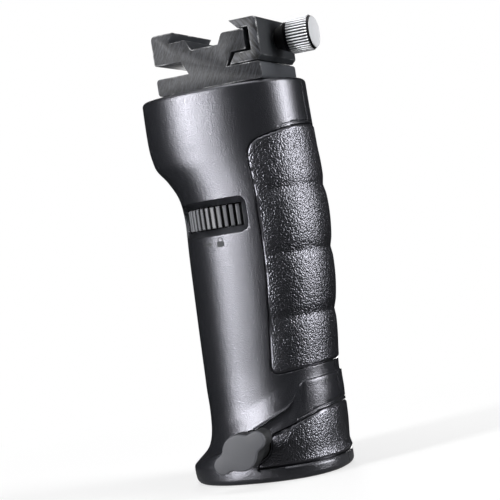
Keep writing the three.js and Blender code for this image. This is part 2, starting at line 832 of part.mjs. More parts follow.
// Extruded clamp head: plate, waisted neck, fixed jaw, relief groove and side flange
const headProfile = outline([
  [-plateHalfWidth, headBottom, plateCorner],
  [plateHalfWidth, headBottom, plateCorner],
  [plateHalfWidth, plateTop, plateCorner],
  [neckFootHalf, plateTop, 0],
  [neckTopHalf, plateTop + slotHeight, 0],
  [blockRight, plateTop + slotHeight, ledgeCorner],
  [blockRight, plateTop + blockHeight, ledgeCorner],
  [reliefHalf + reliefSlope, plateTop + blockHeight, blockCorner],
  [reliefHalf, reliefFloor, 0],
  [-reliefHalf, reliefFloor, 0],
  [-reliefHalf - reliefSlope, plateTop + blockHeight, 0],
  [-jawRoot, plateTop + blockHeight, 0],
  [-jawTip, plateTop + jawHeight, 0],
  [-jawOuter, plateTop + jawHeight, jawCorner],
  [-jawOuter, plateTop + slotHeight, blockCorner],
  [-neckTopHalf, plateTop + slotHeight, 0],
  [-neckFootHalf, plateTop, 0],
  [-plateHalfWidth, plateTop, plateCorner],
]);
const halfHead = headDepth / 2;
const shiftX = (body, x) => body.translate([x, 0, 0]);
const stationX = headX + blockRight;
const clampTip = stationX - clampBite;
const pinPlaces = [guidePinMargin - halfHead, halfHead - guidePinMargin];
const pinStart = stationX - guidePinReach;
const pinEnd = stationX + jawGap + jawWall * guidePinBiteShare;
const pinBoreStart = pinStart - jawClose - seatGap;
const pinBores = join(...pinPlaces.map((y) =>
  rod(guidePinRadius + seatGap, pinBoreStart, pinEnd + seatGap, 'x', [0, y, clampAxisZ], smallSides)));
const pivotWellBottom = pivotHeadBottom - seatGap;
const studBoreStart = clampTip - jawClose - seatGap;
add('head_block', cut(
  shiftX(prismY(headProfile, -halfHead, halfHead), headX),
  rod(pivotHole, headBottom - cutOver, reliefFloor + cutOver, 'z', headPlace, smallSides),
  rod(pivotHeadRadius + seatGap, pivotWellBottom, reliefFloor + cutOver, 'z', headPlace, smallSides),
  rod(clampStudRadius + seatGap, studBoreStart, far, 'x', [0, 0, clampAxisZ], smallSides),
  pinBores,
), anodised);
pinPlaces.forEach((y, index) => add(`guide_pin_${index + 1}`,
  rod(guidePinRadius, pinStart, pinEnd, 'x', [0, y, clampAxisZ], smallSides), steel));

// Movable jaw: a C that hooks over the block's flange and under it
const jawInner = blockRight + jawGap;
const jawRight = jawInner + jawWall;
const movableProfile = outline([
  [jawUnderTip, plateTop + seatGap, 0],
  [jawRight, plateTop + seatGap, jawChamfer / 2],
  [jawRight, plateTop + jawHeight, jawChamfer],
  [jawLipTip, plateTop + jawHeight, 0],
  [jawLipRoot, plateTop + blockHeight + seatGap, 0],
  [jawInner, plateTop + blockHeight + seatGap, 0],
  [jawInner, plateTop + slotHeight - seatGap * 2, 0],
  [jawUnderRoot, plateTop + slotHeight - seatGap * 2, 0],
]);
add('movable_jaw', cut(
  shiftX(prismY(movableProfile, -halfHead, halfHead), headX),
  rod(clampStudRadius + seatGap, 0, far, 'x', [0, 0, clampAxisZ], smallSides),
  pinBores,
), anodised);

// Clamp screw: stud, tapered collar and knurled knob
const clampPlace = [0, 0, clampAxisZ];
const clampCollarStart = headX + jawRight + seatGap;
const knobStart = clampCollarStart + collarLength + seatGap;
const knobEnd = knobStart + knobLength;
const studEnd = knobStart + knobLength / 2;
add('clamp_stud', rod(clampStudRadius, clampTip, studEnd, 'x', clampPlace, smallSides), steel);
add('clamp_collar', turned([
  [clampStudRadius + seatGap, clampCollarStart],
  [collarSmallRadius + seatGap, clampCollarStart],
  [collarLargeRadius, clampCollarStart + collarLength],
  [clampStudRadius + seatGap, clampCollarStart + collarLength],
  [clampStudRadius + seatGap, clampCollarStart],
], 'x', clampPlace, smallSides), moulded);

function knurledKnob() {
  const depth = knobLength - knobChamfer * 2;
  const shape = ribbedOutline(knobRadius, knobRidgeDepth, knobRidges);
  const geometry = new THREE.ExtrudeGeometry(shape, { depth, bevelEnabled: false });
  geometry.rotateY(Math.PI / 2);
  geometry.translate(knobStart + knobChamfer, 0, clampAxisZ);
  const core = knobRadius - knobRidgeDepth;
  return join(
    solid(geometry),
    turned([
      [0, knobStart],
      [core - knobChamfer / 2, knobStart],
      [core, knobStart + knobChamfer],
      [core, knobEnd - knobChamfer],
      [core - knobChamfer / 2, knobEnd],
      [core - knobChamfer, knobEnd],
      [core - knobChamfer - knobDish, knobEnd - knobDish],
      [0, knobEnd - knobDish],
    ], 'x', clampPlace),
  );
}
add('knurled_knob', cut(
  knurledKnob(),
  rod(clampStudRadius + seatGap, 0, studEnd + seatGap, 'x', clampPlace, smallSides),
), chrome);

// The origin is the bottom centre of the whole
const extent = new THREE.Box3().setFromObject(parts);
const middle = extent.getCenter(new THREE.Vector3());
parts.position.set(-middle.x, -middle.y, -extent.min.z);
parts.updateMatrixWorld(true);

export default parts;
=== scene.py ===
"""Hand grip with a dovetail clamp head, dressed for a plain studio picture.

Lengths are metres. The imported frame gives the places, and the sizes below give the smooth forms round it.
"""

import math

import bpy
import numpy as np
from mathutils import Matrix, Vector


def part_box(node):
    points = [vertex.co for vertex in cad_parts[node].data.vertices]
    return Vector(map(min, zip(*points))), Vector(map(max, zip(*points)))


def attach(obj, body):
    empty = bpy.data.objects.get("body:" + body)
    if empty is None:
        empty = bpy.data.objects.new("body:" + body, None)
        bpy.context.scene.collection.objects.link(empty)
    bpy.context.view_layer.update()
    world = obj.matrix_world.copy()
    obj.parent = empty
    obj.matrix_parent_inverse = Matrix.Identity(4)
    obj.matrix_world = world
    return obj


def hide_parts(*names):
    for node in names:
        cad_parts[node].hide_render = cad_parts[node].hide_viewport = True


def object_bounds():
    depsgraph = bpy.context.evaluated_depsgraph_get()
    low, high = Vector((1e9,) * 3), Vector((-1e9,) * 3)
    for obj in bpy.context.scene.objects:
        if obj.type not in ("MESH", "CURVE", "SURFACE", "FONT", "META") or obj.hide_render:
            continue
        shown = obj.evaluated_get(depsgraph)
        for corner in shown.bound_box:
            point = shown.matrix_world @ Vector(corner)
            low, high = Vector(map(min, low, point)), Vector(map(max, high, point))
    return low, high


bl_info = {
    "name": "Clamp head grip",
    "version": (1, 0, 0),
    "blender": (4, 5, 0),
    "location": "3D View > Sidebar > Grip",
    "description": "Builds the smooth moulded grip, its clamp head and a studio round the packed frame",
    "category": "Object",
}

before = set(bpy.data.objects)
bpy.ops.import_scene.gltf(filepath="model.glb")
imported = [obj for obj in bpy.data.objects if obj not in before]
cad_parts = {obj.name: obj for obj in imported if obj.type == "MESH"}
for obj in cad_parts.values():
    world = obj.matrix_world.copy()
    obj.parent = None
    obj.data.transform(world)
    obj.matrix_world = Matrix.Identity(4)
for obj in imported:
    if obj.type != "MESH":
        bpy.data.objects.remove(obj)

MM = 0.001
GAP = 0.3 * MM
OVER = 4 * MM
FAR = 60 * MM

# Grip skin, as the solids have it
SECTION_POWER = 2.35
FOOT_EDGE = 1.9 * MM
FOOT_FLARE = 0.35 * MM
FOOT_WALL = 5 * MM
RIM_EDGE = 1.4 * MM
WALL = 3.4 * MM
TOP_RIM_WALL = 2.4 * MM
RIB_INSET = 2.4 * MM
BASE_PLATE = 3 * MM
TOP_PLATE = 3 * MM
PLATE_EDGE = 0.2 * MM

# Rows of the skin: share of the height, then left, right and depth shares of the half sizes
SKIN_SHARES = [
    (0.000, 1.165, 0.975, 1.110),
    (0.045, 1.200, 0.992, 1.120),
    (0.062, 1.110, 0.966, 1.120),
    (0.079, 0.998, 0.968, 1.120),
    (0.092, 0.935, 0.973, 1.115),
    (0.106, 0.898, 0.980, 1.100),
    (0.125, 0.870, 0.988, 1.075),
    (0.152, 0.855, 0.994, 1.045),
    (0.192, 0.852, 0.998, 1.005),
    (0.241, 0.860, 0.978, 0.980),
    (0.282, 0.858, 0.990, 0.970),
    (0.339, 0.856, 1.025, 0.968),
    (0.457, 0.846, 1.100, 0.975),
    (0.582, 0.830, 1.150, 0.990),
    (0.683, 0.812, 1.170, 1.000),
    (0.738, 0.850, 1.162, 1.010),
    (0.785, 0.980, 1.145, 1.020),
    (0.820, 1.125, 1.132, 1.028),
    (0.845, 1.170, 1.127, 1.033),
    (0.875, 1.196, 1.121, 1.040),
    (0.926, 1.204, 1.112, 1.048),
    (1.000, 1.200, 1.104, 1.050),
]

# Swept crest round the base: share of the half width, then share of the height
CREST_SHARES = [
    (-1.20, 0.057),
    (-0.86, 0.075),
    (-0.53, 0.095),
    (-0.13, 0.132),
    (0.06, 0.148),
    (0.29, 0.167),
    (0.43, 0.180),
    (0.57, 0.211),
    (0.68, 0.236),
    (0.84, 0.240),
    (1.02, 0.243),
]
CREST_FLARE = 0.75 * MM
CREST_BEAD = 0.7 * MM
BEAD_BAND = 1.4 * MM
CREST_INSET = 0.7 * MM
CREST_TURN = 2.6 * MM
CREST_TURN_SHARE = 0.25
CREST_HOLD = 5.5 * MM
CREST_RETURN = 13 * MM
LEDGE_START = 28.6 * MM
LEDGE_FULL = 30.6 * MM
CREST_LEDGE = 0.6 * MM
CREST_LIP = 0.35 * MM
FLARE_BEND = 1.1
CREST_BAND = 8 * MM
CREST_FADE = 27.5 * MM
CREST_FOOT = 4.8 * MM
CREST_TOE = 7.4 * MM
CREST_TOP = 48.5 * MM

# Rubber pad and foot band: share of the half width, share of the height, then the corner's radius
PAD_SHARES = [
    (0.355, 0.263, 3.6 * MM),
    (0.500, 0.524, 4 * MM),
    (0.518, 0.727, 4 * MM),
    (0.470, 0.847, 5.6 * MM),
    (1.400, 0.893, 0),
    (1.400, 0.284, 0),
]
PAD_THICKNESS = 1.5 * MM
PAD_PROUD = 0.25 * MM
BAND_SHARES = [
    (0.020, 0.038, 0.8 * MM),
    (0.280, 0.117, 0.8 * MM),
    (0.617, 0.139, 0.8 * MM),
    (1.000, 0.167, 0.8 * MM),
    (1.400, 0.187, 0),
    (1.400, 0.038, 0),
]
BAND_THICKNESS = 1.8 * MM
BAND_PROUD = 0.15 * MM
RUBBER_EDGE = 0.9 * MM
RUBBER_EDGE_SHARE = 0.8
GRAIN_FADE = (0.5 * MM, 1.1 * MM)
TRIM_RISE = 1.1 * MM
TRIM_WIDTH = 0.35 * MM
TRIM_DEPTH = 0.3 * MM
PAD_LINE_START = 0.46
SCALLOP_DEPTH = 0.9 * MM
SCALLOP_PITCH = 20.5 * MM
SCALLOP_FIRST = 51.5 * MM
SCALLOP_CREASE = 3 * MM
SCALLOP_COUNT = 3
SCALLOP_SIDE_SHARES = (0.1, 0.8)
SCALLOP_CREASE_SHARE = 0.3

# Wheel, its window and its recess, whose places are shares of the half width
WINDOW_SHARES = (-0.508, 0.308)
WINDOW_CORNER = 1 * MM
RECESS_SHARES = (-0.760, 0.370)
RECESS_MARGIN = 1.9 * MM
RECESS_DEPTH = 0.6 * MM
RECESS_CORNER = 3.4 * MM
RECESS_FLOOR_SHARE = 0.99
WHEEL_RIBS = 42
WHEEL_RIB_DEPTH = 0.9 * MM
WHEEL_EDGE = 0.35 * MM
WHEEL_RIM = 3 * MM
WHEEL_HUB = 6.5 * MM
WHEEL_WEB = 1.8 * MM
WHEEL_SHADE_SHARES = (0.7, 0.2)

# Wing screw
WING_HUB = 5.85 * MM
WING_LOBE = 2.95 * MM
WING_REACH = 7.1 * MM
WING_BLEND = 2.1 * MM
WING_LEAN = math.radians(29)
WING_EDGE = 0.55 * MM
WING_GREY_DEPTH = 0.9 * MM
WING_MOUTH = 5.15 * MM
BOSS_MARGIN = 0.55 * MM
INSERT_RADIUS = 4.8 * MM
STUD_BORE = 3.3 * MM

# Clamp head profile, from the head's axis and the plate's top
HEAD_OFFSET = 1.15 * MM
PLATE_CORNER = 1.3 * MM
NECK_FOOT = 6.8 * MM
NECK_TOP = 9 * MM
SLOT_HEIGHT = 4.3 * MM
BLOCK_HEIGHT = 11 * MM
JAW_OUTER = 18.4 * MM
JAW_TIP = 10.3 * MM
JAW_ROOT = 12.7 * MM
JAW_CORNER = 1.7 * MM
RELIEF_DEPTH = 3.5 * MM
RELIEF_HALF = 4.7 * MM
RELIEF_SLOPE = 1.7 * MM
BLOCK_RIGHT = 14.2 * MM
BLOCK_CORNER = 0.9 * MM
LEDGE_CORNER = 0.5 * MM
JAW_GAP = 1.65 * MM
JAW_LIP_TIP = 9.55 * MM
JAW_LIP_ROOT = 12.4 * MM
JAW_UNDER_TIP = 8 * MM
JAW_UNDER_ROOT = 10.2 * MM
JAW_CHAMFER = 1.4 * MM
SAWN_EDGE = 0.18 * MM
SAW_STRETCH = (1.0, 1.0, 0.12)
BOLT_BORE = 3.3 * MM
BOLT_SEAT = 2.9 * MM
BORE_END = 1 * MM

# Ribs, as places across half a rib's pitch and drops as shares of the rib's depth
FLAT_RIB = ((0.0, 0.0), (0.2, 0.02), (0.26, 0.12), (0.3, 0.5), (0.34, 0.9), (0.38, 1.0), (0.5, 1.0))
ROUND_RIB = ((0.0, 0.0), (0.1, 0.04), (0.19, 0.18), (0.26, 0.45), (0.33, 0.8), (0.4, 0.96), (0.5, 1.0))
CLEAR = 0.05 * MM

# Knurled knob and small turned pieces
KNOB_RIDGES = 36
KNOB_RIDGE_DEPTH = 0.6 * MM
KNOB_CHAMFER = 0.9 * MM
KNOB_RUN = 0.35 * MM
KNOB_DISH = 0.3 * MM
KNOB_BORE = 2.8 * MM
KNOB_LIP = ((0.35, 0.1), (0.0, 0.4))  # shares of the chamfer, back from the face and inwards
KNOB_SHADE_SHARES = (0.75, 0.2)
KNOB_FACE_SHARE = 0.3
COLLAR_EDGE = 0.25 * MM
COLLAR_SMALL = 3.3 * MM

# Stand socket in the foot, and the plates' holes
SOCKET_MOUTH = 8.4 * MM
SOCKET_BORE = 8.1 * MM
SOCKET_LEAD = 0.4 * MM
SOCKET_FLOOR = 3 * MM
PAD_BORE = 3.5 * MM
BUSH_BORE = 7.9 * MM
BASE_WELL = 1.7 * MM
BASE_BORE_SHARE = 0.65

# Plain finishes: colour, roughness, metallic, width of a speck and strength of its relief
PLAIN = {
    # Thin and matt, so that it reads dark where the moulding shines
    "pad_printed_ink": ("37383b", 0.75, 0.0, 0.3 * MM, 0.05),
    # Dark and satin, with a hint of the metal under it
    "anodised_plate": ("2e3034", 0.45, 0.4, 0.3 * MM, 0.1),
    # Mid grey metal with a soft shine
    "zinc_plated_steel": ("6f7276", 0.4, 1.0, 0.3 * MM, 0.08),
    # Black and waxy
    "black_nylon": ("0f1011", 0.45, 0.0, 0.4 * MM, 0.08),
    # Brown-black, with the warm shine of brass
    "blackened_brass": ("3a3328", 0.45, 1.0, 0.3 * MM, 0.1),
    # Light grey metal with a clear shine
    "bright_steel": ("a4a6aa", 0.3, 1.0, 0.3 * MM, 0.1),
    # Milky and dull
    "natural_nylon": ("d3cfc2", 0.55, 0.0, 0.5 * MM, 0.1),
    # Near black, without a shine
    "brake_rubber": ("1a1b1d", 0.7, 0.0, 0.5 * MM, 0.2),
}

# Inner CAD pieces and their finishes
INNER = {
    "blackened_brass": ("pivot_bush", "threaded_insert"),
    "bright_steel": ("wing_stud", "clamp_stud", "brake_plunger", "brake_disc", "guide_pin_1", "guide_pin_2"),
    "natural_nylon": ("pressure_pad", "friction_washer"),
    "brake_rubber": ("brake_shoe",),
}

# Socket screws: shares are of the head's radius or thickness, and the tip's is of the shank's radius
BASE_SCREW_HEAD = 1.25 * MM
SHELL_SCREW_HEAD = 1.8 * MM
BOLT_HEAD = 2.6 * MM
SMALL_SHANK = 1.4 * MM
BOLT_SHANK = 3.0 * MM
SCREW_EDGE_SHARE = 0.12
SCREW_TIP_SHARE = 0.3
HEX_SHARE = 0.5
HEX_DEPTH_SHARE = 0.55

# Sign beside the wheel, from the grip's axis: the arrow's points are in millimetres
SIGN_LEFT = -8.8 * MM
SIGN_Z = 78.2 * MM
SIGN_PRINT = 0.03 * MM
ARROW_POINTS = ((0, -0.2), (2.6, -0.2), (2.6, -0.8), (4, 0), (2.6, 0.8), (2.6, 0.2), (0, 0.2))
LOCK_START = 5.6 * MM
LOCK_WIDTH = 2.6 * MM
LOCK_LOW = -1.3 * MM
LOCK_HIGH = 0.5 * MM
LOCK_CORNER = 0.25 * MM
SHACKLE_OUTER = 0.95 * MM
SHACKLE_INNER = 0.6 * MM
SHACKLE_Z = 0.9 * MM
SHACKLE_FOOT = 0.6 * MM

# How finely the smooth forms are drawn
SKIN_SIDES = 288
BORE_SIDES = 96
ROUND_SIDES = 72
SMALL_SIDES = 32
CORNER_STEPS = 10
SMALL_CORNER_STEPS = 6
LOCK_CORNER_STEPS = 4
ARC_STEPS = 16
WING_SIDES = 240
HALVINGS = 30
SPACED_STEPS = 24
HOLLOW_ROWS = 60
SEAT_ROWS = 4
PLATE_ROWS = 2
BEVEL_SAMPLES = 8

# The skin's rows: foot's edge, foot, under the crest, its lip, its bead, over it, the grip and its rim's edge
ROW_COUNTS = (10, 2, 24, 8, 10, 50, 130, 8)


def centre(node):
    """Middle of a CAD node's box."""
    low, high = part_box(node)
    return (low + high) / 2


def round_box(name, across="x"):
    """Corners, middle and radius of a round CAD node, whose width is measured along an axis."""
    low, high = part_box(name)
    return low, high, (low + high) / 2, (getattr(high, across) - getattr(low, across)) / 2


# Places that the frame gives
SEAM_Y = (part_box("front_shell")[1].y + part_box("rear_shell")[0].y) / 2
AXIS = Vector((centre("head_block").x - HEAD_OFFSET, SEAM_Y, 0))
FRONT, BACK = AXIS.y - FAR, AXIS.y + FAR
LOW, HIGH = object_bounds()
WHEEL_LOW, WHEEL_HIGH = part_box("lock_wheel")
WHEEL = (WHEEL_LOW + WHEEL_HIGH) / 2
WHEEL_RADIUS = (WHEEL_HIGH.x - WHEEL_LOW.x) / 2
WINDOW_REACH = (WHEEL_HIGH.z - WHEEL_LOW.z) / 2 + GAP
WING_LOW, WING_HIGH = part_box("wing_knob")
WING = centre("wing_stud")
HEAD_LOW, HEAD_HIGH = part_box("head_block")
HEAD_BOTTOM = HEAD_LOW.z
PLATE_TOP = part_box("movable_jaw")[0].z - GAP


def length(name, description, default):
    """Property that holds a length."""
    return bpy.props.FloatProperty(name=name, description=description, default=default, unit="LENGTH")


def hex_colour(name, thing, default):
    """Property that holds an sRGB hex colour."""
    return bpy.props.StringProperty(name=name, description=f"sRGB hex colour of {thing}", default=default)


class GripSizes(bpy.types.PropertyGroup):
    height: length("Grip height", "Height of the moulded grip", 128 * MM)
    half_width: length("Half width", "Half the grip's width at its waist", 24 * MM)
    half_depth: length("Half depth", "Half the grip's depth at its waist", 20 * MM)
    grain: length("Rubber grain", "Width of one bump of the rubber's grain", 0.56 * MM)
    texture: length("Moulded texture", "Width of one speck of the eroded mould's texture", 0.4 * MM)


class GripColours(bpy.types.PropertyGroup):
    moulding: hex_colour("Moulding", "the moulded grip", "191a1d")
    rubber: hex_colour("Rubber", "the pad and the foot band", "0b0c0e")
    sawn: hex_colour("Sawn ends", "the head's sawn ends", "333439")
    anodised: hex_colour("Anodised sides", "the head's drawn sides", "3c3e42")
    # Painted shade: the jaw's drawn sides are a darker copy of the head block's anodised colour
    jaw: hex_colour("Jaw sides", "the movable jaw's drawn sides", "26282b")
    wing: hex_colour("Wing knob", "the wing knob", "45464b")
    wheel: hex_colour("Thumb wheel", "the thumb wheel's ribs", "606165")
    chrome: hex_colour("Knob", "the plated knob", "e0e1e4")


# Materials


def colour(code):
    """Linear RGBA of an sRGB hex colour."""
    channels = [int(code[i : i + 2], 16) / 255 for i in (0, 2, 4)]
    linear = [c / 12.92 if c <= 0.04045 else ((c + 0.055) / 1.055) ** 2.4 for c in channels]
    return (*linear, 1.0)


class Nodes:
    """A node tree, and the one way in which a node is added to it."""

    def __init__(self, tree):
        self.tree = tree

    def feed(self, socket, value):
        """Gives a socket its value, or links it to the output that feeds it."""
        if isinstance(value, bpy.types.NodeSocket):
            self.tree.links.new(value, socket)
        else:
            socket.default_value = value

    def add(self, kind, values=None, **settings):
        """Adds a node and gives its outputs: settings are its own fields, and values go to its sockets."""
        made = self.tree.nodes.new(f"ShaderNode{kind}")
        for key, value in settings.items():
            setattr(made, key, value)
        for key, value in (values or {}).items():
            self.feed(made.inputs[key], value)
        return made.outputs


class Finish(Nodes):
    """A new material with a Principled shader and textures in Object coordinates."""

    def __init__(self, name, settings):
        self.material = bpy.data.materials.new(name)
        self.material.use_nodes = True
        super().__init__(self.material.node_tree)
        self.shader = self.tree.nodes["Principled BSDF"]
        self.give(settings)
        self.place = self.add("TexCoord")["Object"]

    def give(self, settings):
        """Gives the shader's sockets their values or the outputs that feed them."""
        for key, value in settings.items():
            self.feed(self.shader.inputs[key], value)

    def away(self, axis, middle):
        """Distance from an axis through a point."""
        keep = tuple(float(index != axis) for index in range(3))
        shifted = self.add("VectorMath", {0: self.place, 1: tuple(middle)}, operation="SUBTRACT")["Vector"]
        across = self.add("VectorMath", {0: shifted, 1: keep}, operation="MULTIPLY")["Vector"]
        return self.add("VectorMath", {0: across}, operation="LENGTH")["Value"]

    def beyond(self, axis, edge):
        """1 past a place along an axis, and 0 before it."""
        split = self.add("SeparateXYZ", {"Vector": self.place})
        return self.add("Math", {0: split[axis], 1: edge}, operation="GREATER_THAN")["Value"]


def moulded_abs(colours, sizes):
    """ABS from a spark-eroded mould: satin charcoal with a fine speckle, which breaks the light up at the
    edge of a highlight."""
    settings = {"Roughness": 0.28, "IOR": 1.54, "Specular IOR Level": 1.0, "Specular Tint": colour("f4f4ff")}
    finish = Finish("moulded_abs", {"Base Color": colour(colours.moulding), **settings})
    soft = finish.add("Bevel", {"Radius": 0.25 * MM}, samples=BEVEL_SAMPLES)["Normal"]
    values = {"Vector": finish.place, "Scale": 1 / sizes.texture, "Detail": 2.0, "Roughness": 0.6}
    specks = finish.add("TexNoise", values)["Fac"]
    values = {"Height": specks, "Strength": 0.6, "Distance": 0.15 * MM, "Normal": soft}
    finish.give({"Normal": finish.add("Bump", values)["Normal"]})
    return finish.material


def grained_rubber(colours, sizes):
    """Thermoplastic rubber with a leather grain: near black, with a small glint on each bump. Its rim is left
    smooth."""
    settings = {"Roughness": 0.32, "IOR": 1.7, "Specular IOR Level": 0.95, "Specular Tint": colour("f2f2ff")}
    finish = Finish("grained_rubber", {"Base Color": colour(colours.rubber), **settings})
    values = {"Vector": finish.place, "Scale": 1 / (sizes.grain * 2), "Detail": 1.0}
    warp = finish.add("TexNoise", values)["Color"]
    shift = finish.add("VectorMath", {0: warp, 1: (sizes.grain,) * 3}, operation="MULTIPLY")["Vector"]
    moved = finish.add("VectorMath", {0: finish.place, 1: shift}, operation="ADD")["Vector"]
    pebble = finish.add("TexVoronoi", {"Vector": moved, "Scale": 1 / sizes.grain})["Distance"]
    dome = finish.add("Math", {0: pebble, 1: pebble}, operation="MULTIPLY")["Value"]
    rim = finish.add("Attribute", attribute_name="inset")["Fac"]
    values = {"Value": rim, "From Min": GRAIN_FADE[0], "From Max": GRAIN_FADE[1]}
    inner = finish.add("MapRange", values)["Result"]
    grain = finish.add("Math", {0: dome, 1: inner}, operation="MULTIPLY")["Value"]
    values = {"Height": grain, "Strength": 1.0, "Distance": 0.16 * MM}
    finish.give({"Normal": finish.add("Bump", values, invert=True)["Normal"]})
    return finish.material


def sawn_aluminium(name, colours, sides, lean, line=0.32 * MM, fade=0.13):
    """Black anodised aluminium extrusion: drawn sides are dark and even, and the sawn ends are lighter with
    slanting saw lines. The edges are rubbed bright in places."""
    settings = {"Roughness": 0.45, "Metallic": 0.15, "Specular IOR Level": 0.3}
    finish = Finish(name, {"Base Color": colour(sides), **settings})
    leant = finish.add("Mapping", {"Vector": finish.place, "Rotation": (0.0, lean, 0.0)})["Vector"]
    drawn = finish.add("Mapping", {"Vector": leant, "Scale": SAW_STRETCH})["Vector"]
    values = {"Vector": drawn, "Scale": 1 / line, "Detail": 4.0, "Roughness": 0.7}
    lines = finish.add("TexNoise", values)["Fac"]
    values = {"Vector": finish.place, "Scale": 1 / (3.5 * MM), "Detail": 3.0}
    blotches = finish.add("TexNoise", values)["Fac"]
    ground = finish.add("NewGeometry")
    spaces = {"vector_type": "NORMAL", "convert_from": "WORLD", "convert_to": "OBJECT"}
    local = finish.add("VectorTransform", {"Vector": ground["Normal"]}, **spaces)["Vector"]
    along_y = finish.add("SeparateXYZ", {"Vector": local})["Y"]
    facing = finish.add("Math", {0: along_y}, operation="ABSOLUTE")["Value"]
    is_end = finish.add("MapRange", {"Value": facing, "From Min": 0.55, "From Max": 0.9})["Result"]
    values = {"Value": lines, "From Min": 0.5 - fade, "From Max": 0.5 + fade}
    streak = finish.add("MapRange", values)["Result"]
    values = {"Factor": streak, "A": colour("0c0d0e"), "B": colour(colours.sawn)}
    worn = finish.add("Mix", values, data_type="RGBA")["Result"]
    values = {"Factor": is_end, "A": colour(sides), "B": worn}
    tone = finish.add("Mix", values, data_type="RGBA")["Result"]
    edge = finish.add("Bevel", {"Radius": 0.6 * MM}, samples=BEVEL_SAMPLES)["Normal"]
    flatness = finish.add("VectorMath", {0: edge, 1: ground["True Normal"]}, operation="DOT_PRODUCT")["Value"]
    bare = finish.add("MapRange", {"Value": flatness, "From Min": 0.98, "From Max": 0.86})["Result"]
    values = {"Value": blotches, "From Min": 0.48, "From Max": 0.62, "To Min": 0.05}
    patchy = finish.add("MapRange", values)["Result"]
    rubbed = finish.add("Math", {0: bare, 1: patchy}, operation="MULTIPLY")["Value"]
    values = {"Factor": rubbed, "A": tone, "B": colour("dcdddf")}
    finish.give({"Base Color": finish.add("Mix", values, data_type="RGBA")["Result"]})
    height = finish.add("Math", {0: lines, 1: is_end, 2: blotches}, operation="MULTIPLY_ADD")["Value"]
    values = {"Height": height, "Strength": 0.5, "Distance": 0.08 * MM}
    finish.give({"Normal": finish.add("Bump", values)["Normal"]})
    return finish.material


def ribbed(name, settings, ground, rib, axis, middle, low, high, tooth, face=None):
    """A ribbed rim with painted shade in the gaps between the ribs: the colour falls to ground between the
    radii high and low. Past the face, if one is given as a place and a colour, the end is satin and even."""
    finish = Finish(name, settings)
    # Painted shade: darker towards the bottom of each gap between the ribs
    values = {"Value": finish.away(axis, middle), "From Min": low, "From Max": high}
    values = {"Factor": finish.add("MapRange", values)["Result"], "A": colour(ground), "B": colour(rib)}
    tone = finish.add("Mix", values, data_type="RGBA")["Result"]
    if face:
        past = finish.beyond(axis, face[0])
        for key, value in (("Roughness", 0.5), ("Metallic", 0.25)):
            values = {"Value": past, "To Min": settings[key], "To Max": value}
            finish.give({key: finish.add("MapRange", values)["Result"]})
        values = {"Factor": past, "A": tone, "B": colour(face[1])}
        tone = finish.add("Mix", values, data_type="RGBA")["Result"]
    finish.give({"Base Color": tone})
    values = {"Vector": finish.place, "Scale": 1 / (0.4 * MM), "Detail": 2.0}
    values = {"Height": finish.add("TexNoise", values)["Fac"], "Strength": tooth, "Distance": 0.04 * MM}
    finish.give({"Normal": finish.add("Bump", values)["Normal"]})
    return finish.material


def even(name):
    """A plain finish with a little tooth: one colour, with specks in its relief."""
    code, roughness, metallic, speck, strength = PLAIN[name]
    finish = Finish(name, {"Base Color": colour(code), "Roughness": roughness, "Metallic": metallic})
    values = {"Vector": finish.place, "Scale": 1 / speck, "Detail": 3.0}
    values = {"Height": finish.add("TexNoise", values)["Fac"], "Strength": strength, "Distance": speck / 4}
    finish.give({"Normal": finish.add("Bump", values)["Normal"]})
    return finish.material


def front_grey_nylon(face, edge):
    """Glass-filled nylon with a dry sheen: grey over the front to a place along Y, and black past it."""
    finish = Finish("glass_filled_nylon", {"Roughness": 0.55, "IOR": 1.5})
    values = {"Factor": finish.beyond(1, edge), "A": colour(face), "B": colour("17181a")}
    finish.give({"Base Color": finish.add("Mix", values, data_type="RGBA")["Result"]})
    values = {"Vector": finish.place, "Scale": 1 / (0.5 * MM), "Detail": 3.0}
    values = {"Height": finish.add("TexNoise", values)["Fac"], "Strength": 0.12, "Distance": 0.12 * MM}
    finish.give({"Normal": finish.add("Bump", values)["Normal"]})
    return finish.material


def turned_metal(name, code, roughness, axis, middle, groove):
    """Metal turned on a lathe: fine rings about its axis, which draw the light out into a fan."""
    finish = Finish(name, {"Base Color": colour(code), "Roughness": roughness, "Metallic": 1.0})
    values = {"W": finish.away(axis, middle), "Scale": 1 / groove, "Detail": 1.0}
    rings = finish.add("TexNoise", values, noise_dimensions="1D")["Fac"]
    values = {"Height": rings, "Strength": 0.2, "Distance": groove / 6}
    finish.give({"Normal": finish.add("Bump", values)["Normal"]})
    return finish.material


# Meshes


def select_only(thing):
    """Makes one object the active and only selected one."""
    bpy.ops.object.select_all(action="DESELECT")
    thing.select_set(True)
    bpy.context.view_layer.objects.active = thing


def linked(name, data):
    """A new object in the scene."""
    made = bpy.data.objects.new(name, data)
    bpy.context.scene.collection.objects.link(made)
    return made


def new_object(name, points, faces, edges=()):
    """A mesh object in the scene."""
    mesh = bpy.data.meshes.new(name)
    mesh.from_pydata([tuple(p) for p in points], edges, faces)
    mesh.validate()
    return linked(name, mesh)


def edit_all(thing, *steps):
    """Runs mesh operators, each given with its settings, on all of an object."""
    select_only(thing)
    bpy.ops.object.mode_set(mode="EDIT")
    for operator, settings in steps:
        bpy.ops.mesh.select_all(action="SELECT")
        operator(**settings)
    bpy.ops.object.mode_set(mode="OBJECT")
    return thing


def outwards(thing, merge=1e-7):
    """Merges doubles and turns every face outwards."""
    doubles = (bpy.ops.mesh.remove_doubles, {"threshold": merge})
    return edit_all(thing, doubles, (bpy.ops.mesh.normals_make_consistent, {"inside": False}))


def modified(thing, kind, **settings):
    """Applies one modifier to an object."""
    select_only(thing)
    modifier = thing.modifiers.new(kind.lower(), kind)
    for key, value in settings.items():
        setattr(modifier, key, value)
    bpy.ops.object.modifier_apply(modifier=modifier.name)
    return thing


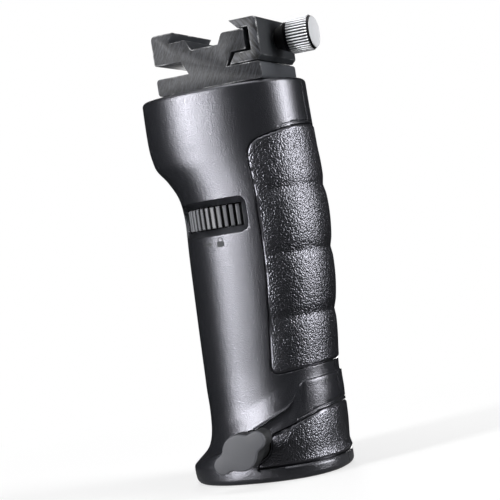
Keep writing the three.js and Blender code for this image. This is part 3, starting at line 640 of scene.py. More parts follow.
def combine(thing, other, operation):
    """Cuts, joins or intersects two solids, and drops the second one."""
    modified(thing, "BOOLEAN", operation=operation, solver="MANIFOLD", object=other)
    if not thing.data.polygons:
        raise RuntimeError(f"nothing is left of {thing.name} after {operation} with {other.name}")
    bpy.data.objects.remove(other)
    return thing


def cut(thing, *others):
    """Takes other solids out of one."""
    for other in others:
        combine(thing, other, "DIFFERENCE")
    return thing


def bevelled(thing, width, segments, angle=30):
    """Rounds every edge sharper than an angle."""
    limit = math.radians(angle)
    return modified(thing, "BEVEL", width=width, segments=segments, limit_method="ANGLE", angle_limit=limit)


def finished(thing, body, material, *nodes, angle=32):
    """Gives a piece its material and shading, and sets it in the place of its CAD nodes."""
    select_only(thing)
    bpy.ops.object.shade_smooth_by_angle(angle=math.radians(angle))
    thing.data.materials.clear()
    thing.data.materials.append(material)
    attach(thing, body)
    if nodes:
        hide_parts(*nodes)
    return thing


def copy_of(name):
    """Merged copy of a CAD node."""
    return outwards(linked(f"{name}_copy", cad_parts[name].data.copy()), 1e-6)


def block(name, low, high):
    """A box between two corners."""
    low, high = Vector(low), Vector(high)
    bpy.ops.object.select_all(action="DESELECT")
    bpy.ops.mesh.primitive_cube_add(size=1, location=(low + high) / 2)
    made = bpy.context.object
    made.name = name
    made.scale = high - low
    bpy.ops.object.transform_apply(location=True, rotation=True, scale=True)
    return made


def rounded(corners, steps=CORNER_STEPS):
    """Outline with a quarter curve in each corner that has a radius: corners are (x, y, radius)."""
    points = []
    for index, (x, y, radius) in enumerate(corners):
        here = Vector((x, y))
        before = Vector(corners[index - 1][:2])
        after = Vector(corners[(index + 1) % len(corners)][:2])
        if radius == 0:
            points.append(here)
            continue
        start = here + (before - here).normalized() * radius
        end = here + (after - here).normalized() * radius
        for step in range(steps + 1):
            t = step / steps
            points.append((1 - t) ** 2 * start + 2 * t * (1 - t) * here + t**2 * end)
    return points


def extruded(name, outline, axis, low, high):
    """Prism of an outline: along Y it is drawn in X and Z, along Z in X and Y, along X in Y and Z."""
    index = "xyz".index(axis)
    points = [(*pair[:index], low, *pair[index:]) for pair in (tuple(p) for p in outline)]
    move = [high - low if i == index else 0.0 for i in range(3)]
    return edit_all(
        new_object(name, points, [list(range(len(points)))]),
        (bpy.ops.mesh.extrude_region_move, {"TRANSFORM_OT_translate": {"value": move}}),
        (bpy.ops.mesh.normals_make_consistent, {"inside": False}),
    )


def turned(name, profile, axis, middle, sides=ROUND_SIDES):
    """Body of revolution: the profile is (radius, place along the axis), closed on itself or at the axis."""
    direction = Vector([float(letter == axis) for letter in "xyz"])
    across = Vector((0, 0, 1)) if axis != "z" else Vector((1, 0, 0))
    base = Vector(middle)
    base["xyz".index(axis)] = 0
    points = [base + across * radius + direction * place for radius, place in profile]
    last = len(points) - 1
    edges = [(i, i + 1) for i in range(last)] + ([(last, 0)] if profile[0][0] > 0 else [])
    spin = {"steps": sides, "angle": 2 * math.pi, "center": base, "axis": direction}
    return outwards(edit_all(new_object(name, points, [], edges), (bpy.ops.mesh.spin, spin)))


def rod(name, radius, axis, middle, low, high, sides=ROUND_SIDES):
    """Round bar or bore along an axis."""
    return turned(name, [(0, low), (radius, low), (radius, high), (0, high)], axis, middle, sides)


def ring_faces(rings, sides):
    """Faces between rings of points that all have the same count."""
    return [
        (ring + side, ring + after, ring + sides + after, ring + sides + side)
        for ring in range(0, (rings - 1) * sides, sides)
        for side, after in ((side, (side + 1) % sides) for side in range(sides))
    ]


def loft(name, rows):
    """Closed body through rings of points that all have the same count."""
    sides, last = len(rows[0]), (len(rows) - 1) * len(rows[0])
    ends = [tuple(reversed(range(sides))), tuple(range(last, last + sides))]
    return new_object(name, [p for ring in rows for p in ring], ring_faces(len(rows), sides) + ends)


# The grip's skin


def smooth_step(value, low, high):
    """0 below low, 1 above high and a smooth rise between them."""
    t = min(max((value - low) / (high - low), 0.0), 1.0)
    return t * t * (3 - 2 * t)


def along(table, place, column):
    """Value of a table's column at a place, by a cubic through its rows."""
    last = len(table) - 1
    if place <= table[0][0]:
        return table[0][column]
    if place >= table[last][0]:
        return table[last][column]
    row = next(i for i in range(last) if table[i + 1][0] >= place)

    def slope(index):
        low, high = max(index - 1, 0), min(index + 1, last)
        return (table[high][column] - table[low][column]) / (table[high][0] - table[low][0])

    span = table[row + 1][0] - table[row][0]
    t = (place - table[row][0]) / span
    rise = table[row + 1][column] - table[row][column]
    a = slope(row) * span - rise
    b = rise - slope(row + 1) * span
    return table[row][column] + t * rise + t * (1 - t) * (a * (1 - t) + b * t)


def section(sizes, height):
    """Left, right and depth of the skin at a height."""
    share = height / sizes.height
    return (
        sizes.half_width * along(SKIN_SHARES, share, 1),
        sizes.half_width * along(SKIN_SHARES, share, 2),
        sizes.half_depth * along(SKIN_SHARES, share, 3),
    )


def skin_point(sizes, height, angle, offset, cross=None):
    """Point of the skin, grown by an offset."""
    left, right, depth = cross or section(sizes, height)
    reach = (right + left) / 2 + offset
    c, s = math.cos(angle), math.sin(angle)
    x = (right - left) / 2 + reach * math.copysign(abs(c) ** (2 / SECTION_POWER), c)
    y = (depth + offset) * math.copysign(abs(s) ** (2 / SECTION_POWER), s)
    return (AXIS.x + x, AXIS.y + y, height)


def skin_front(sizes, x, height):
    """Where the skin's front lies, from the middle plane, at a place across and a height."""
    left, right, depth = section(sizes, height)
    share = min(abs(x - (right - left) / 2) / ((right + left) / 2), 1.0)
    return -depth * (1 - share**SECTION_POWER) ** (1 / SECTION_POWER)


def crest_height(sizes, angle):
    """Height of the swept crest at an angle round the foot."""
    x = skin_point(sizes, CREST_FOOT, angle, 0)[0] - AXIS.x
    return sizes.height * along(CREST_SHARES, x / sizes.half_width, 1)


def crest_offset(height, crest):
    """Flare over the crest and inset under it, joined by the crest's narrow lip."""
    fade = smooth_step(CREST_FADE - crest, 0, CREST_BAND)
    toe = smooth_step(crest, CREST_TOE, CREST_TOE + CREST_FOOT)
    rise = max(height - crest, CREST_LIP)
    over = CREST_FLARE * (1 - min(rise / CREST_BAND, 1)) ** FLARE_BEND
    over = fade * toe * (over + CREST_BEAD * (1 - min(rise / BEAD_BAND, 1)) ** 2)
    if height >= crest + CREST_LIP:
        return over
    below = max(crest - height, 0)
    ledge = CREST_LEDGE * smooth_step(crest, LEDGE_START, LEDGE_FULL)
    under = ledge * (1 - min(below / CREST_BAND, 1))
    turned_in = CREST_TURN_SHARE + (1 - CREST_TURN_SHARE) * smooth_step(below, 0, CREST_TURN)
    under -= CREST_INSET * fade * toe * turned_in * (1 - smooth_step(below, CREST_HOLD, CREST_RETURN))
    if height <= crest:
        return under
    t = (height - crest) / CREST_LIP
    share = fade * math.sqrt(1 - (1 - t) ** 2) + (1 - fade) * smooth_step(t, 0, 1)
    return under + (over - under) * share


def edge_drop(radius, away):
    """Drop of a rounded edge at a distance from its end."""
    return 0.0 if away >= radius else radius - math.sqrt(max(radius**2 - (radius - away) ** 2, 0))


def scallop(height, angle):
    """Finger scallops on the right side of the pad."""
    phase = (height - SCALLOP_FIRST) / SCALLOP_PITCH
    if not -0.5 <= phase < SCALLOP_COUNT - 0.5:
        return 0.0
    nearest = abs(phase - round(phase)) * SCALLOP_PITCH
    groove = max(0.0, 1 - nearest / SCALLOP_PITCH * 2) ** 2
    crease = max(0.0, 1 - nearest / SCALLOP_CREASE)
    side = smooth_step(math.cos(angle), *SCALLOP_SIDE_SHARES)
    return -SCALLOP_DEPTH * side * (groove + SCALLOP_CREASE_SHARE * (crease - groove))


def row_heights(sizes, crest):
    """Heights of the skin's rows at one angle."""
    foot, *between, rim = ROW_COUNTS
    lip = crest + CREST_LIP
    marks = (FOOT_EDGE, CREST_FOOT, crest, lip, lip + BEAD_BAND, CREST_TOP, sizes.height - RIM_EDGE)
    rows = [FOOT_EDGE * (1 - math.cos(math.pi / 2 * step / foot)) for step in range(foot)]
    for low, high, steps in zip(marks, marks[1:], between):
        rows += [low + (high - low) * step / steps for step in range(steps)]
    rows += [sizes.height - RIM_EDGE * (1 - math.sin(math.pi / 2 * step / rim)) for step in range(rim)]
    return rows + [sizes.height]


def skin(name, sizes, offset, extra=None):
    """Outer skin of the grip, grown by an offset that may vary over it."""
    columns = []
    for side in range(SKIN_SIDES):
        angle = 2 * math.pi * side / SKIN_SIDES
        crest = crest_height(sizes, angle)
        column = []
        for height in row_heights(sizes, crest):
            grown = offset + crest_offset(height, crest)
            grown -= edge_drop(FOOT_EDGE, height) + edge_drop(RIM_EDGE, sizes.height - height)
            grown += FOOT_FLARE * max(1 - height / FOOT_WALL, 0)
            if extra:
                grown += extra(height, angle)
            x, y, z = skin_point(sizes, height, angle, grown)
            column.append((min(max(x, LOW[0]), HIGH[0]), min(max(y, LOW[1]), HIGH[1]), z))
        columns.append(column)
    return loft(name, [list(ring) for ring in zip(*columns)])


def hollow(name, sizes, low, high, inset, steps=HOLLOW_ROWS, sides=SKIN_SIDES // 2):
    """Inner form of the grip between two heights, smaller than the skin by an inset."""
    rows = []
    for step in range(steps + 1):
        height = low + (high - low) * step / steps
        cross = section(sizes, height)
        rows.append(
            [skin_point(sizes, height, 2 * math.pi * side / sides, -inset, cross) for side in range(sides)]
        )
    return loft(name, rows)


def share_outline(sizes, shares, grow=0.0):
    """Rounded outline in X and Z, from shares of the half width and of the height and the corners' radii."""
    points = [(x * sizes.half_width, z * sizes.height, radius) for x, z, radius in shares]
    x_mean, z_mean = (sum(p[i] for p in points) / len(points) for i in (0, 1))
    return rounded(
        [
            (AXIS.x + x + math.copysign(grow, x - x_mean), z + math.copysign(grow, z - z_mean), radius)
            for x, z, radius in points
        ]
    )


def inset_of(outline, x, z):
    """How far points in X and Z lie inside an outline; negative outside."""
    a = np.array([tuple(p) for p in outline])
    b = np.roll(a, -1, axis=0)
    p = np.stack([np.asarray(x, float), np.asarray(z, float)], axis=1)
    best = np.full(len(p), np.inf)
    inside = np.zeros(len(p), bool)
    for (ax, az), (bx, bz) in zip(a, b):
        d = np.array([bx - ax, bz - az])
        t = np.clip(((p - (ax, az)) @ d) / max(d @ d, 1e-18), 0, 1)
        best = np.minimum(best, np.linalg.norm(p - (np.array([ax, az]) + t[:, None] * d), axis=1))
        crosses = (az > p[:, 1]) != (bz > p[:, 1])
        with np.errstate(divide="ignore", invalid="ignore"):
            at = ax + (p[:, 1] - az) / (bz - az) * (bx - ax)
        inside ^= crosses & (p[:, 0] < at)
    return np.where(inside, best, -best)


def read_points(mesh, key):
    """A mesh's places or normals, one row for each point."""
    flat = np.empty(len(mesh.vertices) * 3)
    mesh.vertices.foreach_get(key, flat)
    return flat.reshape(-1, 3)


def depth_inside(mesh, outline):
    """How far each point of a mesh lies inside an outline in X and Z, and 0 outside."""
    spots = read_points(mesh, "co")
    return np.maximum(inset_of(outline, spots[:, 0], spots[:, 2]), 0)


def round_rim(thing, outline, radius, floor):
    """Rolls a rubber piece's outer surface down towards its outline."""
    mesh = thing.data
    inset = depth_inside(mesh, outline)
    drop = np.where(inset < radius, radius - np.sqrt(np.maximum(radius**2 - (radius - inset) ** 2, 0)), 0)
    spots = read_points(mesh, "co") - read_points(mesh, "normal") * np.minimum(drop, floor)[:, None]
    mesh.vertices.foreach_set("co", spots.ravel())
    mesh.update()


def shell_screws():
    """Names of the four shell screws."""
    return sorted(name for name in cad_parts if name.startswith("shell_screw_"))


def trim_line(name, sizes, shares, first, last, start=0.0):
    """Fine line cut in the skin a little over the upper edge of a rubber piece, between two of its corners.
    It leaves out the first side up to a share of its length."""
    edge = [Vector((AXIS.x + x * sizes.half_width, z * sizes.height)) for x, z, _ in shares[first : last + 1]]
    edge[0] = edge[0].lerp(edge[1], start)
    lower = [p + Vector((0, TRIM_RISE)) for p in edge]
    upper = [p + Vector((0, TRIM_RISE + TRIM_WIDTH)) for p in reversed(edge)]
    prism = extruded(name, lower + upper, "y", FRONT, BACK)
    return cut(prism, hollow("trim_floor", sizes, -OVER, sizes.height + OVER, TRIM_DEPTH))


def spaced(outline, steps=SPACED_STEPS):
    """Adds points along the straight sides of a rounded rectangle, so that it can follow a curved face."""
    points = []
    for index, point in enumerate(outline):
        points.append(point)
        if (index + 1) % (CORNER_STEPS + 1) == 0:
            after = outline[(index + 1) % len(outline)]
            points.extend(point.lerp(after, step / steps) for step in range(1, steps))
    return points


def recess_cut(sizes):
    """Recess round the wheel's window: its faces slope in from its outline to the window's edge."""
    outer = spaced(rectangle(sizes, RECESS_SHARES, WINDOW_REACH + RECESS_MARGIN, RECESS_CORNER))
    shares = [share * RECESS_FLOOR_SHARE for share in WINDOW_SHARES]
    inner = spaced(rectangle(sizes, shares, WINDOW_REACH - CLEAR, WINDOW_CORNER))
    rows = [[(x, FRONT, z) for x, z in outer]]
    for outline, depth in ((outer, CLEAR), (inner, RECESS_DEPTH)):
        rows.append([(x, AXIS.y + skin_front(sizes, x - AXIS.x, z) + depth, z) for x, z in outline])
    return outwards(loft("recess", rows))


def rectangle(sizes, shares, reach, corner):
    """Rounded rectangle about the wheel's middle height, between two shares of the half width."""
    left, right = (AXIS.x + share * sizes.half_width for share in shares)
    low, high = WHEEL.z - reach, WHEEL.z + reach
    return rounded([(left, low, corner), (right, low, corner), (right, high, corner), (left, high, corner)])


def boss_room(gap=0.0):
    """Room for the boss round the wing screw, which the foot band leaves out."""
    return rod("boss", WING_MOUTH + BOSS_MARGIN + gap, "y", WING, FRONT, BACK)


def pocket(name, sizes, shares, thickness, top, boss=False):
    """Pocket that takes a rubber piece, with the clearance round and under it."""
    prism = extruded(name, share_outline(sizes, shares, GAP), "y", FRONT, BACK)
    if boss:
        cut(prism, boss_room())
    return cut(prism, hollow("pocket_floor", sizes, -OVER, top, thickness + GAP))


def build_shells(sizes, material):
    """The two moulded shells, with their pockets, recess, window, wells and the ribs inside."""
    height = sizes.height
    window = rectangle(sizes, WINDOW_SHARES, WINDOW_REACH, WINDOW_CORNER)
    insert_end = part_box("threaded_insert")[0].y
    blank = skin("grip_shell", sizes, 0.0)
    cut(
        blank,
        hollow("cavity", sizes, BASE_PLATE, height - TOP_PLATE, WALL),
        hollow("base_seat", sizes, -OVER, BASE_PLATE + GAP, WALL, SEAT_ROWS),
        hollow("top_seat", sizes, height - TOP_PLATE - GAP, height + OVER, TOP_RIM_WALL, SEAT_ROWS),
        pocket("pad_pocket", sizes, PAD_SHARES, PAD_THICKNESS, height + OVER),
        pocket("band_pocket", sizes, BAND_SHARES, BAND_THICKNESS, CREST_TOP, True),
        trim_line("pad_line", sizes, PAD_SHARES, 3, 4, PAD_LINE_START),
        trim_line("band_line", sizes, BAND_SHARES, 2, 4),
        recess_cut(sizes),
        extruded("window", window, "y", FRONT, WHEEL.y),
        rod("wheel_room", WHEEL_RADIUS + GAP, "z", WHEEL, WHEEL_LOW.z - GAP, WHEEL_HIGH.z + GAP),
        rod("insert_bore", INSERT_RADIUS + GAP, "y", WING, FRONT, AXIS.y),
        rod("wing_mouth", WING_MOUTH, "y", WING, FRONT, insert_end),
    )
    for name in shell_screws():
        _, high, middle, head = round_box(name)
        cut(blank, rod("well", head + GAP, "y", middle, high.y - 2 * head, BACK, SMALL_SIDES))
    for name, low, high in (
        ("front_shell", FRONT, AXIS.y - GAP / 2),
        ("rear_shell", AXIS.y + GAP / 2, BACK),
    ):
        half = linked(f"moulded_{name}", blank.data.copy())
        combine(half, block("half", (-FAR * 2, low, -FAR), (FAR * 2, high, height + FAR)), "INTERSECT")
        ribs = combine(copy_of(name), hollow("rib_room", sizes, 0, height, RIB_INSET), "INTERSECT")
        finished(combine(half, ribs, "UNION"), "handle", material, name)
    bpy.data.objects.remove(blank)


def build_rubber(sizes, material):
    """The finger pad and the foot band, each with a rolled rim. Each point keeps how far it lies inside the
    outline, which the grain fades by."""
    for name, shares, proud, thickness, top, extra in (
        ("grip_pad", PAD_SHARES, PAD_PROUD, PAD_THICKNESS, sizes.height, scallop),
        ("base_band", BAND_SHARES, BAND_PROUD, BAND_THICKNESS, CREST_TOP, None),
    ):
        outline = share_outline(sizes, shares)
        piece = skin(f"moulded_{name}", sizes, proud, extra)
        round_rim(piece, outline, RUBBER_EDGE, RUBBER_EDGE * RUBBER_EDGE_SHARE)
        prism = extruded("prism", outline, "y", FRONT, BACK)
        if name == "base_band":
            cut(prism, boss_room(GAP))
        combine(piece, prism, "INTERSECT")
        cut(piece, hollow("floor", sizes, 0, top, thickness))
        inset = depth_inside(piece.data, outline).astype(np.float32)
        piece.data.attributes.new("inset", "FLOAT", "POINT").data.foreach_set("value", inset)
        finished(piece, "handle", material, name)


def build_plates(sizes, moulding, metal):
    """Base plate with its socket mouth, and the top plate under the head."""
    height = sizes.height
    plate = hollow("smooth_base_plate", sizes, 0, BASE_PLATE, WALL + GAP, PLATE_ROWS)
    cut(plate, rod("mouth", SOCKET_MOUTH, "z", centre("spigot_bush"), -OVER, BASE_PLATE + OVER, BORE_SIDES))
    for index in (1, 2, 3):
        _, _, middle, head = round_box(f"base_screw_{index}")
        cut(plate, rod("well", head + GAP, "z", middle, -OVER, BASE_WELL, SMALL_SIDES))
        cut(plate, rod("bore", head * BASE_BORE_SHARE, "z", middle, -OVER, OVER, SMALL_SIDES))
    finished(bevelled(plate, PLATE_EDGE, 2, 60), "handle", moulding, "base_plate")
    top = hollow("smooth_top_plate", sizes, height - TOP_PLATE, height, TOP_RIM_WALL + GAP, PLATE_ROWS)
    low, high = height - TOP_PLATE - OVER, height + OVER
    cut(top, rod("bush_bore", BUSH_BORE, "z", centre("pivot_bush"), low, high, BORE_SIDES))
    finished(bevelled(top, PLATE_EDGE, 2, 60), "handle", metal, "top_plate")


def build_socket(metal):
    """Steel bush of the stand socket, with a rounded mouth."""
    low, high, middle, outer = round_box("spigot_bush")
    floor = high.z - SOCKET_FLOOR
    profile = [
        (0, floor),
        (SOCKET_BORE, floor),
        (SOCKET_BORE, low.z + SOCKET_LEAD),
        (SOCKET_BORE + SOCKET_LEAD, low.z),
        (outer, low.z),
        (outer, high.z),
        (0, high.z),
    ]
    bush = turned("turned_spigot_bush", profile, "z", middle, BORE_SIDES)
    cut(bush, rod("pad_bore", PAD_BORE, "y", WING, FRONT, AXIS.y, SMALL_SIDES))
    finished(bush, "handle", metal, "spigot_bush")


def hex_outline(middle, radius, axes):
    """Hexagon about a point, in two of the axes."""
    a, b = (middle["xyz".index(letter)] for letter in axes)
    turns = [math.pi / 3 * corner for corner in range(6)]
    return [(a + radius * math.cos(turn), b + radius * math.sin(turn)) for turn in turns]


def socket_screw(name, body, material, axis, way, thick, shank):
    """Cap screw with a hexagon socket, in the place of a plain turned one. way is 1 where it is driven in
    along its axis and -1 where against it, thick is its head's thickness, and shank is its shank's radius."""
    low, high, middle, head = round_box(name)
    index = "xyz".index(axis)
    top, tip = (low[index], high[index]) if way > 0 else (high[index], low[index])
    edge = head * SCREW_EDGE_SHARE
    profile = [
        (0, top),
        (head - edge, top),
        (head, top + way * edge),
        (head, top + way * thick),
        (shank, top + way * thick),
        (shank, tip - way * shank * SCREW_TIP_SHARE),
        (shank * (1 - SCREW_TIP_SHARE), tip),
        (0, tip),
    ]
    screw = turned(f"socket_{name}", profile, axis, middle, SMALL_SIDES)
    ends = sorted((top + way * thick * HEX_DEPTH_SHARE, top - way * OVER))
    outline = hex_outline(middle, head * HEX_SHARE, "xyz".replace(axis, ""))
    finished(cut(screw, extruded("hexagon", outline, axis, *ends)), body, material, name)


def build_screws(steel):
    """The base screws, the shell screws and the pivot bolt."""
    for index in (1, 2, 3):
        socket_screw(f"base_screw_{index}", "handle", steel, "z", 1, BASE_SCREW_HEAD, SMALL_SHANK)
    for name in shell_screws():
        socket_screw(name, "handle", steel, "y", -1, SHELL_SCREW_HEAD, SMALL_SHANK)
    socket_screw("pivot_bolt", "head", steel, "z", -1, BOLT_HEAD, BOLT_SHANK)


def head_outline():
    """End view of the head block: plate, waisted neck, fixed jaw, relief groove and side flange."""
    top = PLATE_TOP
    half = (HEAD_HIGH.x - HEAD_LOW.x) / 2
    corners = [
        (-half, HEAD_BOTTOM, PLATE_CORNER),
        (half, HEAD_BOTTOM, PLATE_CORNER),
        (half, top, PLATE_CORNER),
        (NECK_FOOT, top, 0),
        (NECK_TOP, top + SLOT_HEIGHT, 0),
        (BLOCK_RIGHT, top + SLOT_HEIGHT, LEDGE_CORNER),
        (BLOCK_RIGHT, top + BLOCK_HEIGHT, LEDGE_CORNER),
        (RELIEF_HALF + RELIEF_SLOPE, top + BLOCK_HEIGHT, BLOCK_CORNER),
        (RELIEF_HALF, top + BLOCK_HEIGHT - RELIEF_DEPTH, 0),
        (-RELIEF_HALF, top + BLOCK_HEIGHT - RELIEF_DEPTH, 0),
        (-RELIEF_HALF - RELIEF_SLOPE, top + BLOCK_HEIGHT, 0),
        (-JAW_ROOT, top + BLOCK_HEIGHT, 0),
        (-JAW_TIP, HEAD_HIGH.z, 0),
        (-JAW_OUTER, HEAD_HIGH.z, JAW_CORNER),
        (-JAW_OUTER, top + SLOT_HEIGHT, BLOCK_CORNER),
        (-NECK_TOP, top + SLOT_HEIGHT, 0),
        (-NECK_FOOT, top, 0),
        (-half, top, PLATE_CORNER),
    ]
    return rounded([(AXIS.x + HEAD_OFFSET + x, z, r) for x, z, r in corners], SMALL_CORNER_STEPS)


def jaw_outline():
    """End view of the movable jaw: a C that hooks over the flange and under it."""
    low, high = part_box("movable_jaw")
    top = PLATE_TOP
    right = high.x - AXIS.x - HEAD_OFFSET
    inner = BLOCK_RIGHT + JAW_GAP
    corners = [
        (JAW_UNDER_TIP, low.z, 0),
        (right - JAW_CHAMFER, low.z, 0),
        (right, low.z + JAW_CHAMFER, 0),
        (right, high.z, JAW_CHAMFER),
        (JAW_LIP_TIP, high.z, 0),
        (JAW_LIP_ROOT, top + BLOCK_HEIGHT + GAP, 0),
        (inner, top + BLOCK_HEIGHT + GAP, 0),
        (inner, top + SLOT_HEIGHT - GAP * 2, 0),
        (JAW_UNDER_ROOT, top + SLOT_HEIGHT - GAP * 2, 0),
    ]
    return rounded([(AXIS.x + HEAD_OFFSET + x, z, r) for x, z, r in corners], SMALL_CORNER_STEPS)


def cross_bores(start, pin_start):
    """Bores along X for the clamp screw's stud and for the two guide pins, from where each starts."""
    low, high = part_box("clamp_stud")
    bores = [rod("stud_bore", (high.z - low.z) / 2 + GAP, "x", centre("clamp_stud"), start, FAR, SMALL_SIDES)]
    low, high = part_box("guide_pin_1")
    radius, end = (high.z - low.z) / 2 + GAP, high.x + GAP
    for name in ("guide_pin_1", "guide_pin_2"):
        bores.append(rod("pin_bore", radius, "x", centre(name), pin_start, end, SMALL_SIDES))
    return bores


def build_head(block_metal, shaded_jaw_metal):
    """The extruded head block and its movable jaw, with broken edges."""
    _, bolt_end, axis, bolt = round_box("pivot_bolt")
    head = extruded("sawn_head_block", head_outline(), "y", HEAD_LOW.y, HEAD_HIGH.y)
    cut(
        bevelled(head, SAWN_EDGE, 2),
        rod("bolt_bore", BOLT_BORE, "z", axis, HEAD_BOTTOM - OVER, HEAD_HIGH.z),
        rod("bolt_seat", bolt + GAP, "z", axis, bolt_end.z - BOLT_SEAT, HEAD_HIGH.z),
        *cross_bores(*(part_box(name)[0].x - BORE_END for name in ("clamp_stud", "guide_pin_1"))),
    )
    finished(head, "head", block_metal, "head_block")
    jaw = extruded("sawn_movable_jaw", jaw_outline(), "y", HEAD_LOW.y, HEAD_HIGH.y)
    cut(bevelled(jaw, SAWN_EDGE, 2), *cross_bores(0, 0))
    finished(jaw, "movable_jaw", shaded_jaw_metal, "movable_jaw")


def ribbed_outline(middle, radius, depth, count, profile):
    """Round outline with ribs: the profile gives drops, as shares of the depth, from a rib's crown to the
    middle of its gap."""
    marks = list(profile) + [(1 - share, drop) for share, drop in reversed(profile[1:-1])]
    points = []
    for rib in range(count):
        for share, drop in marks:
            angle = 2 * math.pi * (rib + share) / count
            reach = radius - depth * drop
            points.append((middle[0] + math.cos(angle) * reach, middle[1] + math.sin(angle) * reach))
    return points


def build_wheel(material):
    """The ribbed thumb wheel with its recessed web."""
    low, high = WHEEL_LOW.z, WHEEL_HIGH.z
    outline = ribbed_outline(WHEEL, WHEEL_RADIUS, WHEEL_RIB_DEPTH, WHEEL_RIBS, FLAT_RIB)
    wheel = extruded("moulded_lock_wheel", outline, "z", low, high)
    end, blank = WHEEL_RADIUS - WHEEL_EDGE, WHEEL_RADIUS + CLEAR
    lower = [(0, low), (end, low), (blank, low + WHEEL_EDGE)]
    upper = [(blank, high - WHEEL_EDGE), (end, high), (0, high)]
    combine(wheel, turned("rim", lower + upper, "z", WHEEL, ROUND_SIDES * 4), "INTERSECT")
    rim = WHEEL_RADIUS - WHEEL_RIM
    for low, high in ((low - OVER, WHEEL.z - WHEEL_WEB), (WHEEL.z + WHEEL_WEB, high + OVER)):
        ring = [(WHEEL_HUB, low), (rim, low), (rim, high), (WHEEL_HUB, high)]
        cut(wheel, turned("web", ring, "z", WHEEL))
    cut(wheel, rod("bore", STUD_BORE, "z", WHEEL, WHEEL_LOW.z - OVER, WHEEL_HIGH.z + OVER))
    finished(wheel, "lock_wheel", material, "lock_wheel", angle=24)


def wing_outline():
    """Two-lobed wing: hub and lobes joined by soft waists."""

    def outside(x, y):
        hub = math.hypot(x, y) - WING_HUB
        lobe = math.hypot(abs(x) - WING_REACH, y) - WING_LOBE
        blend = max(WING_BLEND - abs(hub - lobe), 0) / WING_BLEND
        return min(hub, lobe) - blend**2 * WING_BLEND / 4

    points = []
    for step in range(WING_SIDES):
        angle = 2 * math.pi * step / WING_SIDES
        # The edge is sought between a radius well inside the wing and one well outside it
        low, high = WING_HUB * 0.9, WING_REACH + WING_LOBE * 1.2
        for _ in range(HALVINGS):
            middle = (low + high) / 2
            if outside(middle * math.cos(angle), middle * math.sin(angle)) < 0:
                low = middle
            else:
                high = middle
        turn = angle + WING_LEAN
        points.append((WING.x + math.cos(turn) * low, WING.z + math.sin(turn) * low))
    return points


def build_wing(knob_material, collar_material):
    """The wing knob and the collar behind it."""
    knob = extruded("moulded_wing_knob", wing_outline(), "y", WING_LOW.y, WING_HIGH.y)
    middle = (WING_LOW.y + WING_HIGH.y) / 2
    cut(bevelled(knob, WING_EDGE, 4, 60), rod("stud_bore", STUD_BORE, "y", WING, middle, AXIS.y, SMALL_SIDES))
    finished(knob, "wing_screw", knob_material, "wing_knob", angle=50)
    low, high, middle, radius = round_box("wing_collar")
    profile = [
        (STUD_BORE, low.y),
        (radius - COLLAR_EDGE, low.y),
        (radius, low.y + COLLAR_EDGE),
        (radius, high.y - COLLAR_EDGE),
        (radius - COLLAR_EDGE, high.y),
        (STUD_BORE, high.y),
    ]
    collar = turned("turned_wing_collar", profile, "y", middle)
    finished(collar, "wing_screw", collar_material, "wing_collar")


def build_knob(chrome, collar_material):
    """The knurled knob of the clamp screw and its tapered collar."""
    low, high, middle, radius = round_box("knurled_knob", "z")
    core = radius - KNOB_RIDGE_DEPTH
    dish = core - KNOB_CHAMFER
    stations = (
        (low.x, core - KNOB_CHAMFER / 2, 0),
        (low.x + KNOB_CHAMFER, core, 0),
        (low.x + KNOB_CHAMFER + KNOB_RUN, radius, KNOB_RIDGE_DEPTH),
        (high.x - KNOB_CHAMFER - KNOB_RUN, radius, KNOB_RIDGE_DEPTH),
        (high.x - KNOB_CHAMFER, core, 0),
        *((high.x - KNOB_CHAMFER * back, core - KNOB_CHAMFER * inwards, 0) for back, inwards in KNOB_LIP),
        (high.x, dish, 0),
        (high.x - KNOB_DISH / 3, dish - KNOB_DISH, 0),
    )
    rows = [
        [(place, *p) for p in ribbed_outline(middle.yz, reach, depth, KNOB_RIDGES, ROUND_RIB)]
        for place, reach, depth in stations
    ]
    knob = outwards(loft("plated_knob", rows))
    bore_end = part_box("clamp_stud")[1].x + GAP
    cut(knob, rod("stud_bore", KNOB_BORE, "x", middle, 0, bore_end, SMALL_SIDES))
    finished(knob, "clamp_screw", chrome, "knurled_knob", angle=24)
    low, high, middle, large = round_box("clamp_collar", "z")
    profile = [
        (KNOB_BORE, low.x),
        (COLLAR_SMALL, low.x),
        (large, high.x - COLLAR_EDGE),
        (large - COLLAR_EDGE, high.x),
        (KNOB_BORE, high.x),
    ]
    collar = turned("turned_clamp_collar", profile, "x", middle)
    finished(collar, "clamp_screw", collar_material, "clamp_collar")


# Arrow and padlock sign beside the wheel, in thin print that follows the skin


def sign_outlines():
    """Plain arrow and padlock in X and Z: the arrow, the lock's body and its shackle."""
    left, z = AXIS.x + SIGN_LEFT, SIGN_Z
    arrow = [(left + x * MM, z + y * MM) for x, y in ARROW_POINTS]
    start, end = left + LOCK_START, left + LOCK_START + LOCK_WIDTH
    low, high = z + LOCK_LOW, z + LOCK_HIGH
    body = [(x, y, LOCK_CORNER) for x, y in ((start, low), (end, low), (end, high), (start, high))]
    middle = start + LOCK_WIDTH / 2
    turns = [math.pi * step / ARC_STEPS for step in range(ARC_STEPS + 1)]
    arc = [(math.cos(turn), math.sin(turn)) for turn in turns]
    shackle = []
    for radius, side, way in ((SHACKLE_OUTER, 1, arc), (SHACKLE_INNER, -1, arc[::-1])):
        shackle.append((middle + side * radius, z + SHACKLE_FOOT))
        shackle += [(middle + radius * c, z + SHACKLE_Z + radius * s) for c, s in way]
        shackle.append((middle - side * radius, z + SHACKLE_FOOT))
    return {"sign_arrow": arrow, "sign_lock": rounded(body, LOCK_CORNER_STEPS), "sign_shackle": shackle}


